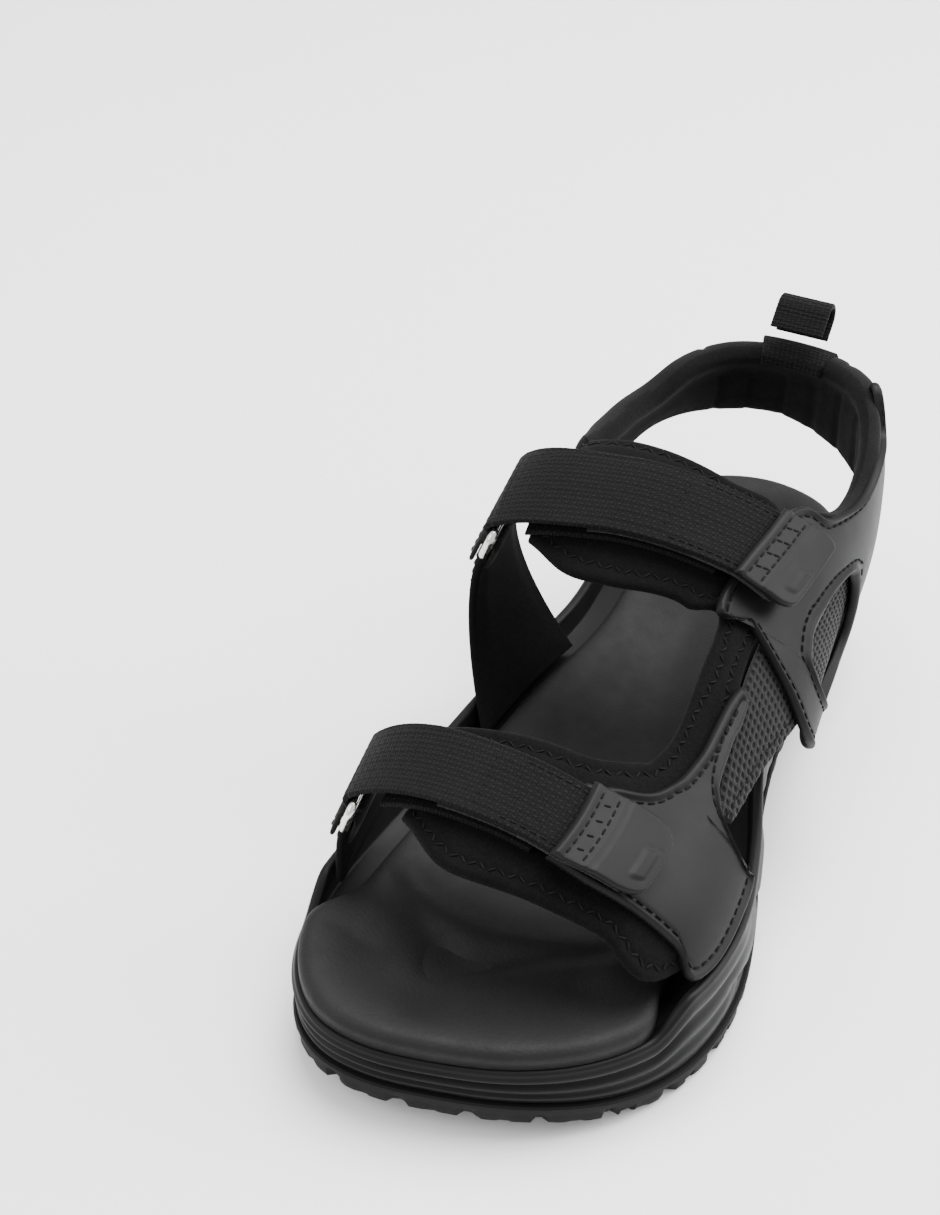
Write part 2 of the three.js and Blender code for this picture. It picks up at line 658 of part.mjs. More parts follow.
// A padded side piece from a ring's lower bar down to the sole, on a curve that leaves the bar straight.
function sidePiece(set, seat, thickness, rows, columns) {
  const { ends, face, hang } = ringFrame(set);
  const grid = (height) =>
    Array.from({ length: columns + 1 }, (_, i) => {
      const u = i / columns;
      const { point: low, normal } = seat(u);
      const high = ends[0].clone().lerp(ends[1], u).addScaledVector(hang, RING_PITCH + BAR + 2 * GAP);
      const knee = high.clone().addScaledVector(hang, PAD_BOW * high.distanceTo(low));
      const bow = new THREE.QuadraticBezierCurve3(high, knee, low);
      return Array.from({ length: rows + 1 }, (_, j) => {
        const side = face.clone().lerp(normal, j / rows).normalize();
        return bow.getPoint(j / rows).addScaledVector(side, height);
      });
    });
  return slab(grid(thickness / 2), grid(-thickness / 2));
}

// The keeper: a short loop of fabric over the ring's lower bar, its two legs hold the inner side piece.
function keeper(set) {
  const { ends, face, hang, axis } = ringFrame(set);
  const low = ends.map((end, k) =>
    end.clone().addScaledVector(hang, RING_PITCH).addScaledVector(axis, k === 0 ? 1 : -1),
  );
  const inner = BAR + GAP + KEEPER_SLACK;
  const legs = [-KEEPER_LEG, -KEEPER_LEG];
  return bend(low, face, hang, inner, inner + KEEPER_CLOTH, 2 * Math.PI, Math.PI, legs);
}

// ---------------------------------------------------------------- pull loop
const LOOP_WIDTH = 17;
const LOOP_HEIGHT = 12.5;
const LOOP_GAP = 6.4; // clear space between the loop's two legs
const LOOP_WEB = 1.5; // thickness of its webbing
const LOOP_LEAN = rad(48);
const LOOP_LIFT = 4.6; // its legs end this far above the collar's top edge

function pullLoop() {
  const base = above(8.05, -87, 2);
  const inner = LOOP_GAP / 2;
  const rise = LOOP_HEIGHT - inner - LOOP_WEB;
  const section = (radius) => {
    const line = [[-radius, 0]];
    const steps = 8;
    for (let k = 0; k <= steps; k++) {
      const turn = Math.PI - (Math.PI * k) / steps;
      line.push([radius * Math.cos(turn), rise + radius * Math.sin(turn)]);
    }
    line.push([radius, 0]);
    return line;
  };
  const grid = (radius) =>
    section(radius).map(([across, up]) =>
      [-LOOP_WIDTH / 2, LOOP_WIDTH / 2].map((x) => {
        const y = across * Math.cos(LOOP_LEAN) + up * Math.sin(LOOP_LEAN);
        const z = up * Math.cos(LOOP_LEAN) - across * Math.sin(LOOP_LEAN);
        return base.clone().add(new THREE.Vector3(x, y, z + GAP + LOOP_LIFT));
      }),
    );
  return slab(grid(inner + LOOP_WEB), grid(inner));
}

// ---------------------------------------------------------------- assembly
const rubber = { color: 0x2b2b2c, roughness: 0.75, metalness: 0 };
const foam = { color: 0x303031, roughness: 0.65, metalness: 0 };
const moulded = { color: 0x3a3a3b, roughness: 0.55, metalness: 0 };
const fabric = { color: 0x1a1a1b, roughness: 0.95, metalness: 0 };
const webbing = { color: 0x232324, roughness: 0.9, metalness: 0 };
const nickel = { color: 0xb9bab8, roughness: 0.25, metalness: 1 };

const group = new THREE.Group();

function add(name, geometry, look) {
  const mesh = new THREE.Mesh(geometry, new THREE.MeshStandardMaterial(look));
  mesh.name = name;
  group.add(mesh);
}

add("outsole", outsole(), rubber);
add("midsole", midsole(), foam);
add("footbed", footbed(), foam);
add("vamp_liner", vampLiner(), fabric);
add("side_mesh", sideMesh(), fabric);
add("front_overlay", frontOverlay(), moulded);
add("rear_overlay", rearOverlay(), moulded);
add("rear_mesh", rearMesh(), fabric);
add("collar_lining", collarLayer(0, COLLAR_LINING, 0, 1, 30), fabric);
add("collar_foam", collarLayer(COLLAR_LINING + GAP, LINER - GAP, 0, 1, 30), fabric);
add("heel_patch", collarLayer(SHELL_LOW, SHELL_LOW + COLLAR_CLOTH, HEEL_FROM, HEEL_TO, 10), fabric);
add("collar_arm", collarLayer(SHELL_LOW, SHELL_LOW + COLLAR_CLOTH, HEEL_TO + JOIN, 1, 10), fabric);
add("medial_front_tab", sidePiece(FRONT, lastSeat(FRONT_ROOT), SIDE_PAD, 7, 4), fabric);
add("medial_instep_panel", sidePiece(INSTEP, slotSeat, SIDE_PAD, 9, 4), fabric);
for (const set of [FRONT, INSTEP]) {
  add(`${set.name}_keeper`, keeper(set), fabric);
  add(`${set.name}_ring`, ring(set), nickel);
  add(`${set.name}_lower_strap`, lowerStrap(set), webbing);
  add(`${set.name}_loop_patch`, loopPatch(set), fabric);
  add(`${set.name}_hook_patch`, hookPatch(set), webbing);
  add(`${set.name}_upper_strap`, upperStrap(set), webbing);
  add(`${set.name}_tab`, tab(set), moulded);
}
add("pull_loop", pullLoop(), webbing);

export default group;
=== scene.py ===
# Looks of the strappy sport sandal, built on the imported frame. Lengths are millimetres until a mesh is made.
import math

import bmesh
import bpy
import numpy as np
from mathutils import Matrix, Vector


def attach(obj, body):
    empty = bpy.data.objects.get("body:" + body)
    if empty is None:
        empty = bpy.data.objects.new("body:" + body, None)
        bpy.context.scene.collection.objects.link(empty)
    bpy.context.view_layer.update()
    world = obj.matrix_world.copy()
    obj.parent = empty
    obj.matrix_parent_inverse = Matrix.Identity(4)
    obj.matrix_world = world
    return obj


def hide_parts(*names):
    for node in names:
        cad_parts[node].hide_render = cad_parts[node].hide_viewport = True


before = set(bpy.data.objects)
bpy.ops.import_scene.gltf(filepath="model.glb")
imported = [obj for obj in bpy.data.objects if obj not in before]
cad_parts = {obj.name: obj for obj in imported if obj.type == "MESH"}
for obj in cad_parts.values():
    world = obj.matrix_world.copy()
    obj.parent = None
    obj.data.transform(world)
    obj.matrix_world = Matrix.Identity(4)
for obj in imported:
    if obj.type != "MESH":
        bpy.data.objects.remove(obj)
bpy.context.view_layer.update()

MM = 0.001

# ------------------------------------------------------------------ sizes, as in the solid model
TOE_END, HEEL_END = -134, 140
OUTER_BALL, INNER_BALL = 64, 50
OUTER_HEEL, INNER_HEEL = 37, 36
TREAD, TOE_SPRING = 7, 7
LEDGE_TOE, LEDGE_HEEL = 25, 33
FOOTBED_RIM, FOOTBED_DISH = 6, 4
LIP_WIDTH, LIP_RISE, LIP_EDGE, STRAP_SLOT = 2.8, 8, 1.2, 8.5
GROOVE_WIDTH, GROOVE_DEPTH, GROOVE_PITCH = 4, 3, 19
GAP, LINER, SHELL, WEB, PATCH = 0.4, 3.8, 2.2, 1.8, 1.1
BAR, RING_PITCH, RING_SIDE, RING_CORNER = 1.3, 10, 2.6, 3
SHELL_LOW = LINER + GAP
LOOP_LOW = SHELL_LOW + SHELL + GAP
HOOK_LOW = LOOP_LOW + PATCH + GAP
TOP_WEB_LOW = HOOK_LOW + PATCH + GAP
LOW_WEB_LOW = LINER + GAP
BAR_HEIGHT = (TOP_WEB_LOW + LOW_WEB_LOW + WEB) / 2
FOLD_INNER = TOP_WEB_LOW - BAR_HEIGHT

# ------------------------------------------------------------------ the last
STATIONS = np.array([
    [-110, 24, 0, -4, 47, 41, 34, 16, 2.0, 2.4, 2.3],
    [-75, 27, 0, 1, 54, 46, 38, 16, 1.8, 3.0, 2.3],
    [-35, 35, 0, -3, 58, 43, 40, 20, 1.7, 3.0, 2.2],
    [5, 46, 4, -8, 60, 40, 42, 21, 1.7, 4.0, 1.7],
    [45, 54, 18, -7, 54, 39, 47, 38, 1.8, 3.6, 1.9],
    [80, 64, 35, -3, 46, 35, 48, 46, 2.0, 2.6, 2.2],
    [92, 79, 50, 1, 39, 34, 52, 47, 2.0, 2.2, 2.2],
    [92, 92, 63, 3, 35, 31, 50, 41, 2.0, 2.2, 2.2],
    [90, 104, 74, 4, 33, 29, 48, 37, 2.0, 2.2, 2.2],
])
SCALE_INNER = 42 / 45
PADDED_STATIONS = np.vstack([2 * STATIONS[0] - STATIONS[1], STATIONS, 2 * STATIONS[-1] - STATIONS[-2]])


def on_last(s, phi):
    s, phi = np.broadcast_arrays(np.asarray(s, float), np.asarray(phi, float))
    i = np.clip(np.floor(s).astype(int), 0, len(STATIONS) - 2)
    t = (s - i)[..., None]
    a, b, c, d = (PADDED_STATIONS[i + k] for k in range(4))
    cubic = (2 * a - 5 * b + 4 * c - d) * t * t + (3 * b - a - 3 * c + d) * t**3
    q = np.moveaxis(0.5 * (2 * b + (c - a) * t + cubic), -1, 0)
    cos, sin = np.cos(np.radians(phi)), np.sin(np.radians(phi))
    wide = np.where(cos >= 0, q[4], q[5])
    tall = np.where(sin >= 0, q[6], q[7])
    n = np.where(sin >= 0, np.where(cos >= 0, q[8], q[9]), q[10])
    r = ((np.abs(cos) / wide) ** n + (np.abs(sin) / tall) ** n) ** (-1 / n)
    x = q[3] + r * cos
    u = r * sin
    tilt = np.radians(q[2])
    x = x * np.where(x > 0, 1.0, SCALE_INNER)
    return np.stack([x, q[0] - u * np.sin(tilt), q[1] + u * np.cos(tilt)], -1)


def arc_along(points):
    return np.concatenate([[0], np.cumsum(np.linalg.norm(np.diff(points, axis=0), axis=1))])


def relaxed(line, times):
    """A closed line, smoothed by its neighbours."""
    for _ in range(times):
        line = 0.25 * np.roll(line, 1, 0) + 0.5 * line + 0.25 * np.roll(line, -1, 0)
    return line


def unit(v):
    return v / np.maximum(np.linalg.norm(v, axis=-1, keepdims=True), 1e-12)


def normal_at(s, phi):
    along = on_last(s + 0.01, phi) - on_last(s - 0.01, phi)
    around = on_last(s, phi + 0.3) - on_last(s, phi - 0.3)
    return unit(np.cross(along, around))


def above(s, phi, height):
    return on_last(s, phi) + normal_at(s, phi) * np.asarray(height, float)[..., None]


def lerp(a, b, t):
    return a + (b - a) * t


def smooth(t):
    t = np.clip(t, 0, 1)
    return t * t * (3 - 2 * t)


def hill(x, middle, width):
    return np.exp(-(((x - middle) / width) ** 2))


def curve(pairs, t, closed=False):
    """Points of the centripetal curve through pairs, at t from 0 to 1."""
    p = np.asarray(pairs, float)
    n = len(p)
    t = np.asarray(t, float)
    spans = n if closed else n - 1
    place = t * spans
    i = np.floor(place).astype(int)
    if not closed:
        i = np.clip(i, 0, n - 2)
    w = (place - i)[..., None]
    if closed:
        p0, p1, p2, p3 = (p[(i + k) % n] for k in (-1, 0, 1, 2))
    else:
        q = np.vstack([2 * p[0] - p[1], p, 2 * p[-1] - p[-2]])
        p0, p1, p2, p3 = (q[i + k] for k in range(4))
    chords = ((p0, p1), (p1, p2), (p2, p3))
    d0, d1, d2 = (np.sqrt(np.linalg.norm(b - a, axis=-1, keepdims=True)) for a, b in chords)
    d1 = np.where(d1 < 1e-4, 1, d1)
    d0 = np.where(d0 < 1e-4, d1, d0)
    d2 = np.where(d2 < 1e-4, d1, d2)
    t1 = ((p1 - p0) / d0 - (p2 - p0) / (d0 + d1) + (p2 - p1) / d1) * d1
    t2 = ((p2 - p1) / d1 - (p3 - p1) / (d1 + d2) + (p3 - p2) / d2) * d1
    return p1 + t1 * w + (-3 * p1 + 3 * p2 - 2 * t1 - t2) * w**2 + (2 * p1 - 2 * p2 + t1 + t2) * w**3


# ------------------------------------------------------------------ meshes
def mesh_object(name, points, faces, material, body, uv=None, replaced=()):
    mesh = bpy.data.meshes.new(name)
    mesh.from_pydata((np.asarray(points) * MM).tolist(), [], [list(f) for f in faces])
    if uv is not None:
        layer = mesh.uv_layers.new(name="mm")
        loops = np.zeros(len(mesh.loops), np.int32)
        mesh.loops.foreach_get("vertex_index", loops)
        layer.data.foreach_set("uv", np.asarray(uv, np.float32)[loops].ravel())
    work = bmesh.new()
    work.from_mesh(mesh)
    bmesh.ops.remove_doubles(work, verts=work.verts, dist=2e-6)
    bmesh.ops.dissolve_degenerate(work, dist=1e-7, edges=work.edges)
    bmesh.ops.recalc_face_normals(work, faces=work.faces)
    work.to_mesh(mesh)
    work.free()
    mesh.polygons.foreach_set("use_smooth", np.ones(len(mesh.polygons), bool))
    materials = material if isinstance(material, (list, tuple)) else [material]
    for one in materials:
        mesh.materials.append(one)
    thing = bpy.data.objects.new(name, mesh)
    bpy.context.scene.collection.objects.link(thing)
    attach(thing, body)
    if replaced:
        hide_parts(*replaced)
    return thing


def grid_faces(rows, columns, base=0, wrap=False, flip=False):
    i = np.arange(rows if wrap else rows - 1)[:, None]
    j = np.arange(columns - 1)[None, :]
    a = base + i * columns + j
    b = base + ((i + 1) % rows) * columns + j
    quads = np.stack([a, b, b + 1, a + 1], -1).reshape(-1, 4)
    return quads[:, ::-1] if flip else quads


class Sheet:
    """A strip of cloth or moulding: f(u, v) gives the points and normals of its middle surface."""

    def __init__(self, f, ring=False):
        self.f = f
        self.ring = ring
        u, v = np.meshgrid(np.linspace(0, 1, 241), np.linspace(0, 1, 31), indexing="ij")
        p, _ = f(u, v)
        self.u = u[:, 0]
        self.width = np.linalg.norm(np.diff(p, axis=1), axis=2).sum(1)
        steps = np.linalg.norm(np.diff(p, axis=0), axis=2).mean(1)
        self.arc = np.concatenate([[0], np.cumsum(steps)])
        self.length = self.arc[-1]

    def u_at(self, arc):
        return np.interp(arc, self.arc, self.u)

    def wide(self, u):
        return np.interp(u, self.u, self.width)

    def at(self, u, v, lift=0):
        p, n = self.f(np.asarray(u, float), np.asarray(v, float))
        return p + n * np.asarray(lift, float)[..., None] if np.ndim(lift) else p + n * lift, n

    def build(
        self, name, material, body, half, r=None, step=1.6, zone=5, relief=None, under=None, replaced=(),
    ):
        """A closed piece: half its thickness, radius r of its edges, step of its grid, zone of finer rows
        beside the edges. relief and under raise its faces: functions of the mm along it, from its two sides
        and from the nearest edge."""
        r = r or half
        edge = np.concatenate([np.array([0, 0.06, 0.2, 0.42, 0.7, 1.0]) * r, np.arange(r + 0.6, zone, 0.6)])
        length = self.length
        if self.ring:
            arcs = np.linspace(0, length, max(24, int(length / step)), endpoint=False)
        else:
            near = edge * min(1, 0.48 * length / edge[-1])
            count = max(2, int((length - 2 * near[-1]) / step)) + 1
            inner = np.linspace(near[-1], length - near[-1], count)[1:-1]
            arcs = np.concatenate([near, inner, length - near[::-1]])
        u = self.u_at(arcs)
        w = self.wide(u)
        fit = np.minimum(1, 0.48 * w / edge[-1])[:, None]
        near = edge[None, :] * fit
        count = max(2, int((w.max() - 2 * edge[-1]) / step)) + 1
        share = np.linspace(0, 1, count)[1:-1][None, :]
        middle = near[:, -1:] + (w[:, None] - 2 * near[:, -1:]) * share
        across = np.concatenate([near, middle, w[:, None] - near[:, ::-1]], 1)
        v = across / np.maximum(w[:, None], 1e-6)
        uu = np.repeat(u[:, None], v.shape[1], 1)
        aa = np.repeat(arcs[:, None], v.shape[1], 1)
        p, n = self.f(uu, v)
        to_side = np.minimum(across, w[:, None] - across)
        to_end = np.full_like(to_side, 99.0) if self.ring else np.minimum(aa, length - aa)
        d = np.minimum(to_side, to_end)
        d[:, 0] = d[:, -1] = 0
        thick = half(uu) if callable(half) else half
        factor = np.sqrt(np.clip(1 - (1 - np.minimum(d / r, 1)) ** 2, 0, 1))
        extra = relief(aa, across, w[:, None] - across, d) * factor if relief else 0
        more = under(aa, across, w[:, None] - across, d) * factor if under else 0
        top = p + n * (thick * factor + extra)[..., None]
        bottom = p - n * (thick * factor + more)[..., None]
        rows, columns = d.shape
        points = np.concatenate([top.reshape(-1, 3), bottom.reshape(-1, 3)])
        faces = np.concatenate([
            grid_faces(rows, columns, 0, self.ring),
            grid_faces(rows, columns, rows * columns, self.ring, True),
        ])
        uv = np.stack([aa, across], -1).reshape(-1, 2)
        return mesh_object(name, points, faces, material, body, np.concatenate([uv, uv]), replaced)


def ruled(edge_a, edge_b, middle, ring=False):
    """A Sheet on the last between two outlines of (station, direction) points or two functions of u."""

    def line(edge, u):
        return edge(u) if callable(edge) else curve(edge, u, ring)

    def f(u, v):
        a, b = line(edge_a, u), line(edge_b, u)
        v = np.asarray(v, float)[..., None]
        q = a + (b - a) * v
        height = np.asarray(middle(u) if callable(middle) else middle, float)
        n = normal_at(q[..., 0], q[..., 1])
        return on_last(q[..., 0], q[..., 1]) + n * height[..., None], n

    return Sheet(f, ring)


# ------------------------------------------------------------------ stitches
STITCHES = {}


def stitch_row(body, points, normals, length=2.1, gap=0.9, radius=0.3, zigzag=0.0, closed=False):
    """Thread stitches along a line; zigzag turns each one that many degrees, left and right in turn."""
    p = np.asarray(points, float)
    if closed:
        p = np.vstack([p, p[:1]])
        normals = np.vstack([normals, normals[:1]])
    arc = arc_along(p)
    count = max(1, int(arc[-1] / (length + gap)))
    middles = (np.arange(count) + 0.5) * arc[-1] / count

    def read(values, where):
        return np.stack([np.interp(where, arc, values[:, k]) for k in range(3)], -1)

    centre = read(p, middles)
    n = unit(read(normals, middles))
    t = unit(read(p, middles + 0.3) - read(p, middles - 0.3))
    t = unit(t - n * (t * n).sum(-1, keepdims=True))
    b = np.cross(n, t)
    if zigzag:
        turn = np.radians(zigzag) * np.where(np.arange(count) % 2 == 0, 1, -1)
        cos, sin = np.cos(turn)[:, None], np.sin(turn)[:, None]
        t, b = t * cos + b * sin, b * cos - t * sin
    STITCHES.setdefault(body, []).append((centre, t, b, n, length, radius))


def finish_stitches(material):
    along = np.array([-1, -0.92, -0.6, 0, 0.6, 0.92, 1])
    thick = np.array([0.05, 0.6, 0.95, 1, 0.95, 0.6, 0.05])
    turns = np.arange(6) / 6 * 2 * math.pi
    for body, rows in STITCHES.items():
        points, faces, base = [], [], 0
        for centre, t, b, n, length, radius in rows:
            x = along[:, None] * np.ones(6) * length / 2
            y = thick[:, None] * np.cos(turns) * radius * 1.15
            z = thick[:, None] * np.sin(turns) * radius
            cloud = (centre[:, None, None] + x[None, ..., None] * t[:, None, None]
                     + y[None, ..., None] * b[:, None, None] + z[None, ..., None] * n[:, None, None])
            points.append(cloud.reshape(-1, 3))
            i, j = np.meshgrid(np.arange(6), np.arange(6), indexing="ij")
            a = i * 6 + j
            c = i * 6 + (j + 1) % 6
            quads = np.stack([a, a + 6, c + 6, c], -1).reshape(-1, 4)
            count = len(centre)
            faces.append((quads[None] + (np.arange(count) * 42)[:, None, None] + base).reshape(-1, 4))
            base += count * 42
        mesh_object("stitches_" + body, np.concatenate(points), np.concatenate(faces), material, body)


def side_line(sheet, side, inset, lift, start=0.0, end=1.0, count=160):
    """A line on a sheet, inset from its first (0) or second (1) side."""
    u = np.linspace(start, end, count)
    share = inset / sheet.wide(u)
    v = share if side == 0 else 1 - share
    return sheet.at(u, v, lift)


def cross_line(sheet, arc, lift, inset=1.5, count=40):
    u = np.full(count, float(sheet.u_at(arc)))
    share = inset / sheet.wide(u)[0]
    return sheet.at(u, np.linspace(share, 1 - share, count), lift)


# ------------------------------------------------------------------ materials
class Num:
    """A number in a node tree, so that patterns can be written as sums."""

    def __init__(self, tree, socket):
        self.tree, self.socket = tree, socket

    def op(self, kind, other=None):
        node = self.tree.nodes.new("ShaderNodeMath")
        node.operation = kind
        for slot, value in zip(node.inputs, (self, other)):
            if isinstance(value, Num):
                self.tree.links.new(value.socket, slot)
            elif value is not None:
                slot.default_value = value
        return Num(self.tree, node.outputs[0])

    def __add__(self, other):
        return self.op("ADD", other)

    def __sub__(self, other):
        return self.op("SUBTRACT", other)

    def __mul__(self, other):
        return self.op("MULTIPLY", other)

    def sine(self):
        return self.op("SINE")

    def size(self):
        return self.op("ABSOLUTE")

    def step(self, low, high):
        node = self.tree.nodes.new("ShaderNodeMapRange")
        node.interpolation_type = "SMOOTHSTEP"
        self.tree.links.new(self.socket, node.inputs["Value"])
        node.inputs["From Min"].default_value = low
        node.inputs["From Max"].default_value = high
        return Num(self.tree, node.outputs[0])


class Look:
    """A principled material with helpers for its patterns."""

    def __init__(self, name, roughness=0.6, specular=0.4, metallic=0.0, sheen=0.0):
        self.material = bpy.data.materials.new(name)
        self.material.use_nodes = True
        self.tree = self.material.node_tree
        self.shader = self.tree.nodes["Principled BSDF"]
        for socket, value in (
            ("Roughness", roughness), ("Specular IOR Level", specular), ("Metallic", metallic),
            ("Sheen Weight", sheen), ("Sheen Roughness", 0.5),
        ):
            self.shader.inputs[socket].default_value = value
        self.height = None

    def where(self):
        return self.tree.nodes.new("ShaderNodeTexCoord").outputs["Object"]

    def mm(self):
        node = self.tree.nodes.new("ShaderNodeUVMap")
        node.uv_map = "mm"
        parts = self.tree.nodes.new("ShaderNodeSeparateXYZ")
        self.tree.links.new(node.outputs[0], parts.inputs[0])
        return Num(self.tree, parts.outputs[0]), Num(self.tree, parts.outputs[1])

    def noise(self, per_mm, detail=3.0, rough=0.55):
        node = self.tree.nodes.new("ShaderNodeTexNoise")
        node.inputs["Scale"].default_value = per_mm * 1000
        node.inputs["Detail"].default_value = detail
        node.inputs["Roughness"].default_value = rough
        self.tree.links.new(self.where(), node.inputs["Vector"])
        return Num(self.tree, node.outputs[0])

    def cells(self, per_mm):
        node = self.tree.nodes.new("ShaderNodeTexVoronoi")
        node.inputs["Scale"].default_value = per_mm * 1000
        self.tree.links.new(self.where(), node.inputs["Vector"])
        return Num(self.tree, node.outputs["Distance"])

    def colour(self, amount, low, high):
        node = self.tree.nodes.new("ShaderNodeMix")
        node.data_type = "RGBA"
        self.tree.links.new(amount.socket, node.inputs["Factor"])
        node.inputs["A"].default_value = (*low, 1)
        node.inputs["B"].default_value = (*high, 1)
        self.tree.links.new(node.outputs["Result"], self.shader.inputs["Base Color"])

    def roughness(self, amount, low, high):
        node = self.tree.nodes.new("ShaderNodeMapRange")
        self.tree.links.new(amount.socket, node.inputs["Value"])
        node.inputs["To Min"].default_value = low
        node.inputs["To Max"].default_value = high
        self.tree.links.new(node.outputs[0], self.shader.inputs["Roughness"])

    def bump(self, height, depth_mm, strength=1.0):
        node = self.tree.nodes.new("ShaderNodeBump")
        node.inputs["Strength"].default_value = strength
        node.inputs["Distance"].default_value = depth_mm * MM
        self.tree.links.new(height.socket, node.inputs["Height"])
        if self.height is not None:
            self.tree.links.new(self.height, node.inputs["Normal"])
        self.height = node.outputs[0]
        self.tree.links.new(self.height, self.shader.inputs["Normal"])


def grey(value):
    return (value,) * 3


def moulded(name, dark, light, low=0.42, high=0.62, grain=0.9, depth=0.05):
    look = Look(name, specular=0.14)
    patch = look.noise(0.03, 4.0)
    fine = look.noise(grain, 2.0)
    look.colour(patch.step(0.3, 0.7), grey(dark), grey(light))
    look.roughness(look.noise(0.12, 5.0), low, high)
    look.bump(fine, depth, 0.6)
    look.bump(look.noise(0.05, 2.0), 0.35, 0.25)
    return look.material


def pebbled(name):
    look = Look(name, specular=0.2)
    pebble = look.cells(0.95)
    worn = look.noise(0.035, 4.0)
    look.colour(worn.step(0.3, 0.75), grey(0.004), grey(0.007))
    look.roughness(look.noise(0.2, 4.0), 0.52, 0.72)
    look.bump(pebble.step(0.0, 0.75), 0.09, 0.55)
    look.bump(look.noise(0.35, 3.0), 0.14, 0.35)
    return look.material


def webbing(name, along=1.15, across=1.55, dark=0.001, light=0.006):
    """Woven webbing: blocks of threads that pass over and under each other."""
    look = Look(name, roughness=0.8, specular=0.1, sheen=0.015)
    u, v = look.mm()
    wave = look.noise(0.08, 2.0) * 0.5
    row = (u + wave) * (math.pi / along)
    column = (v + wave) * (math.pi / across)
    over = (row.sine() * column.sine()).step(-0.25, 0.25)
    warp = (column + math.pi / 2).sine().size()
    weft = (row + math.pi / 2).sine().size()
    height = over * (warp * -1.0 + 1.0) + (over * -1.0 + 1.0) * (weft * -0.9 + 0.8)
    fibre = ((v * 21.0).sine() * 0.5 + 0.5) * 0.18
    surface = height + fibre
    # Painted shade: the colour follows the weave's height, so the sunken threads and hollows are painted
    # darker; the added noise gives random tone.
    look.colour((surface + look.noise(0.05, 3.0) * 0.5).step(0.15, 1.35), grey(dark), grey(light))
    look.roughness(look.noise(0.6, 3.0), 0.66, 0.9)
    look.bump(surface, 0.3, 0.9)
    look.bump(look.noise(2.2, 2.0), 0.05, 0.5)
    return look.material


def knit(name, dark=0.001, light=0.003, sheen=0.015, scale=1.3, fuzz=0.08):
    look = Look(name, roughness=0.92, specular=0.07, sheen=sheen)
    loops = look.cells(scale)
    # Painted shade: the colour follows the loop cells that also raise the bump, so the hollows of the loops
    # are painted darker; the noise adds random tone.
    look.colour((look.noise(0.04, 4.0) + loops * 0.5).step(0.35, 1.0), grey(dark), grey(light))
    look.roughness(look.noise(0.5, 3.0), 0.82, 0.98)
    look.bump(loops.step(0.0, 0.8), 0.12, 0.5)
    look.bump(look.noise(3.0, 4.0, 0.7), fuzz, 0.6)
    return look.material


def mesh_cloth(name):
    look = Look(name, roughness=0.85, specular=0.2, sheen=0.06)
    u, v = look.mm()
    rows = (u * (math.pi / 2.6)).sine().size()
    columns = ((v * (math.pi / 1.9)).sine()).size()
    hole = (rows * columns).step(0.42, 0.75)
    # Painted shade: the openings of the mesh are coloured near black for the shade inside them, and the
    # threads between them are lighter.
    look.colour(hole * -1.0 + 1.0, grey(0.0005), grey(0.008))
    look.roughness(look.noise(0.6, 3.0), 0.75, 0.95)
    look.bump(hole * -1.0 + 1.0, 0.5, 0.9)
    look.bump(look.noise(2.0, 3.0), 0.06, 0.5)
    return look.material


def nickel(name):
    look = Look(name, roughness=0.22, specular=0.5, metallic=1.0)
    look.colour(look.noise(0.15, 4.0).step(0.3, 0.7), (0.55, 0.54, 0.52), (0.78, 0.77, 0.74))
    look.roughness(look.noise(0.8, 5.0), 0.14, 0.34)
    look.bump(look.noise(1.5, 3.0), 0.02, 0.3)
    return look.material


def fuzzy(name):
    look = Look(name, roughness=0.98, specular=0.1, sheen=0.1)
    look.colour(look.noise(0.9, 5.0, 0.7).step(0.3, 0.7), grey(0.004), grey(0.018))
    look.roughness(look.noise(1.5, 3.0), 0.85, 1.0)
    look.bump(look.noise(2.6, 5.0, 0.8), 0.5, 0.9)
    return look.material


def thread(name):
    look = Look(name, roughness=0.7, specular=0.1, sheen=0.01)
    look.colour(look.noise(0.5, 3.0).step(0.3, 0.7), grey(0.0015), grey(0.004))
    look.roughness(look.noise(1.2, 3.0), 0.6, 0.8)
    look.bump(look.noise(3.5, 2.0), 0.06, 0.6)
    return look.material


RUBBER = moulded("tread_rubber", 0.003, 0.005, 0.6, 0.8, 1.1, 0.07)
FOAM = moulded("sole_foam", 0.002, 0.004, 0.4, 0.56, 0.6, 0.04)
BED = pebbled("footbed_foam")
OVERLAY = moulded("overlay", 0.003, 0.005, 0.42, 0.58, 1.6, 0.03)
WEBBING = webbing("webbing_weave")
LINER_CLOTH = knit("liner_knit")
COLLAR_CLOTH = knit("collar_fabric", 0.002, 0.006, 0.05, 1.6, 0.05)
LINING = knit("lining_brushed", 0.001, 0.003, 0.04, 0.9, 0.3)
MESH_CLOTH = mesh_cloth("spacer_mesh")
NICKEL = nickel("ring_wire")
FUZZ = fuzzy("hook_and_loop")
THREAD = thread("thread")

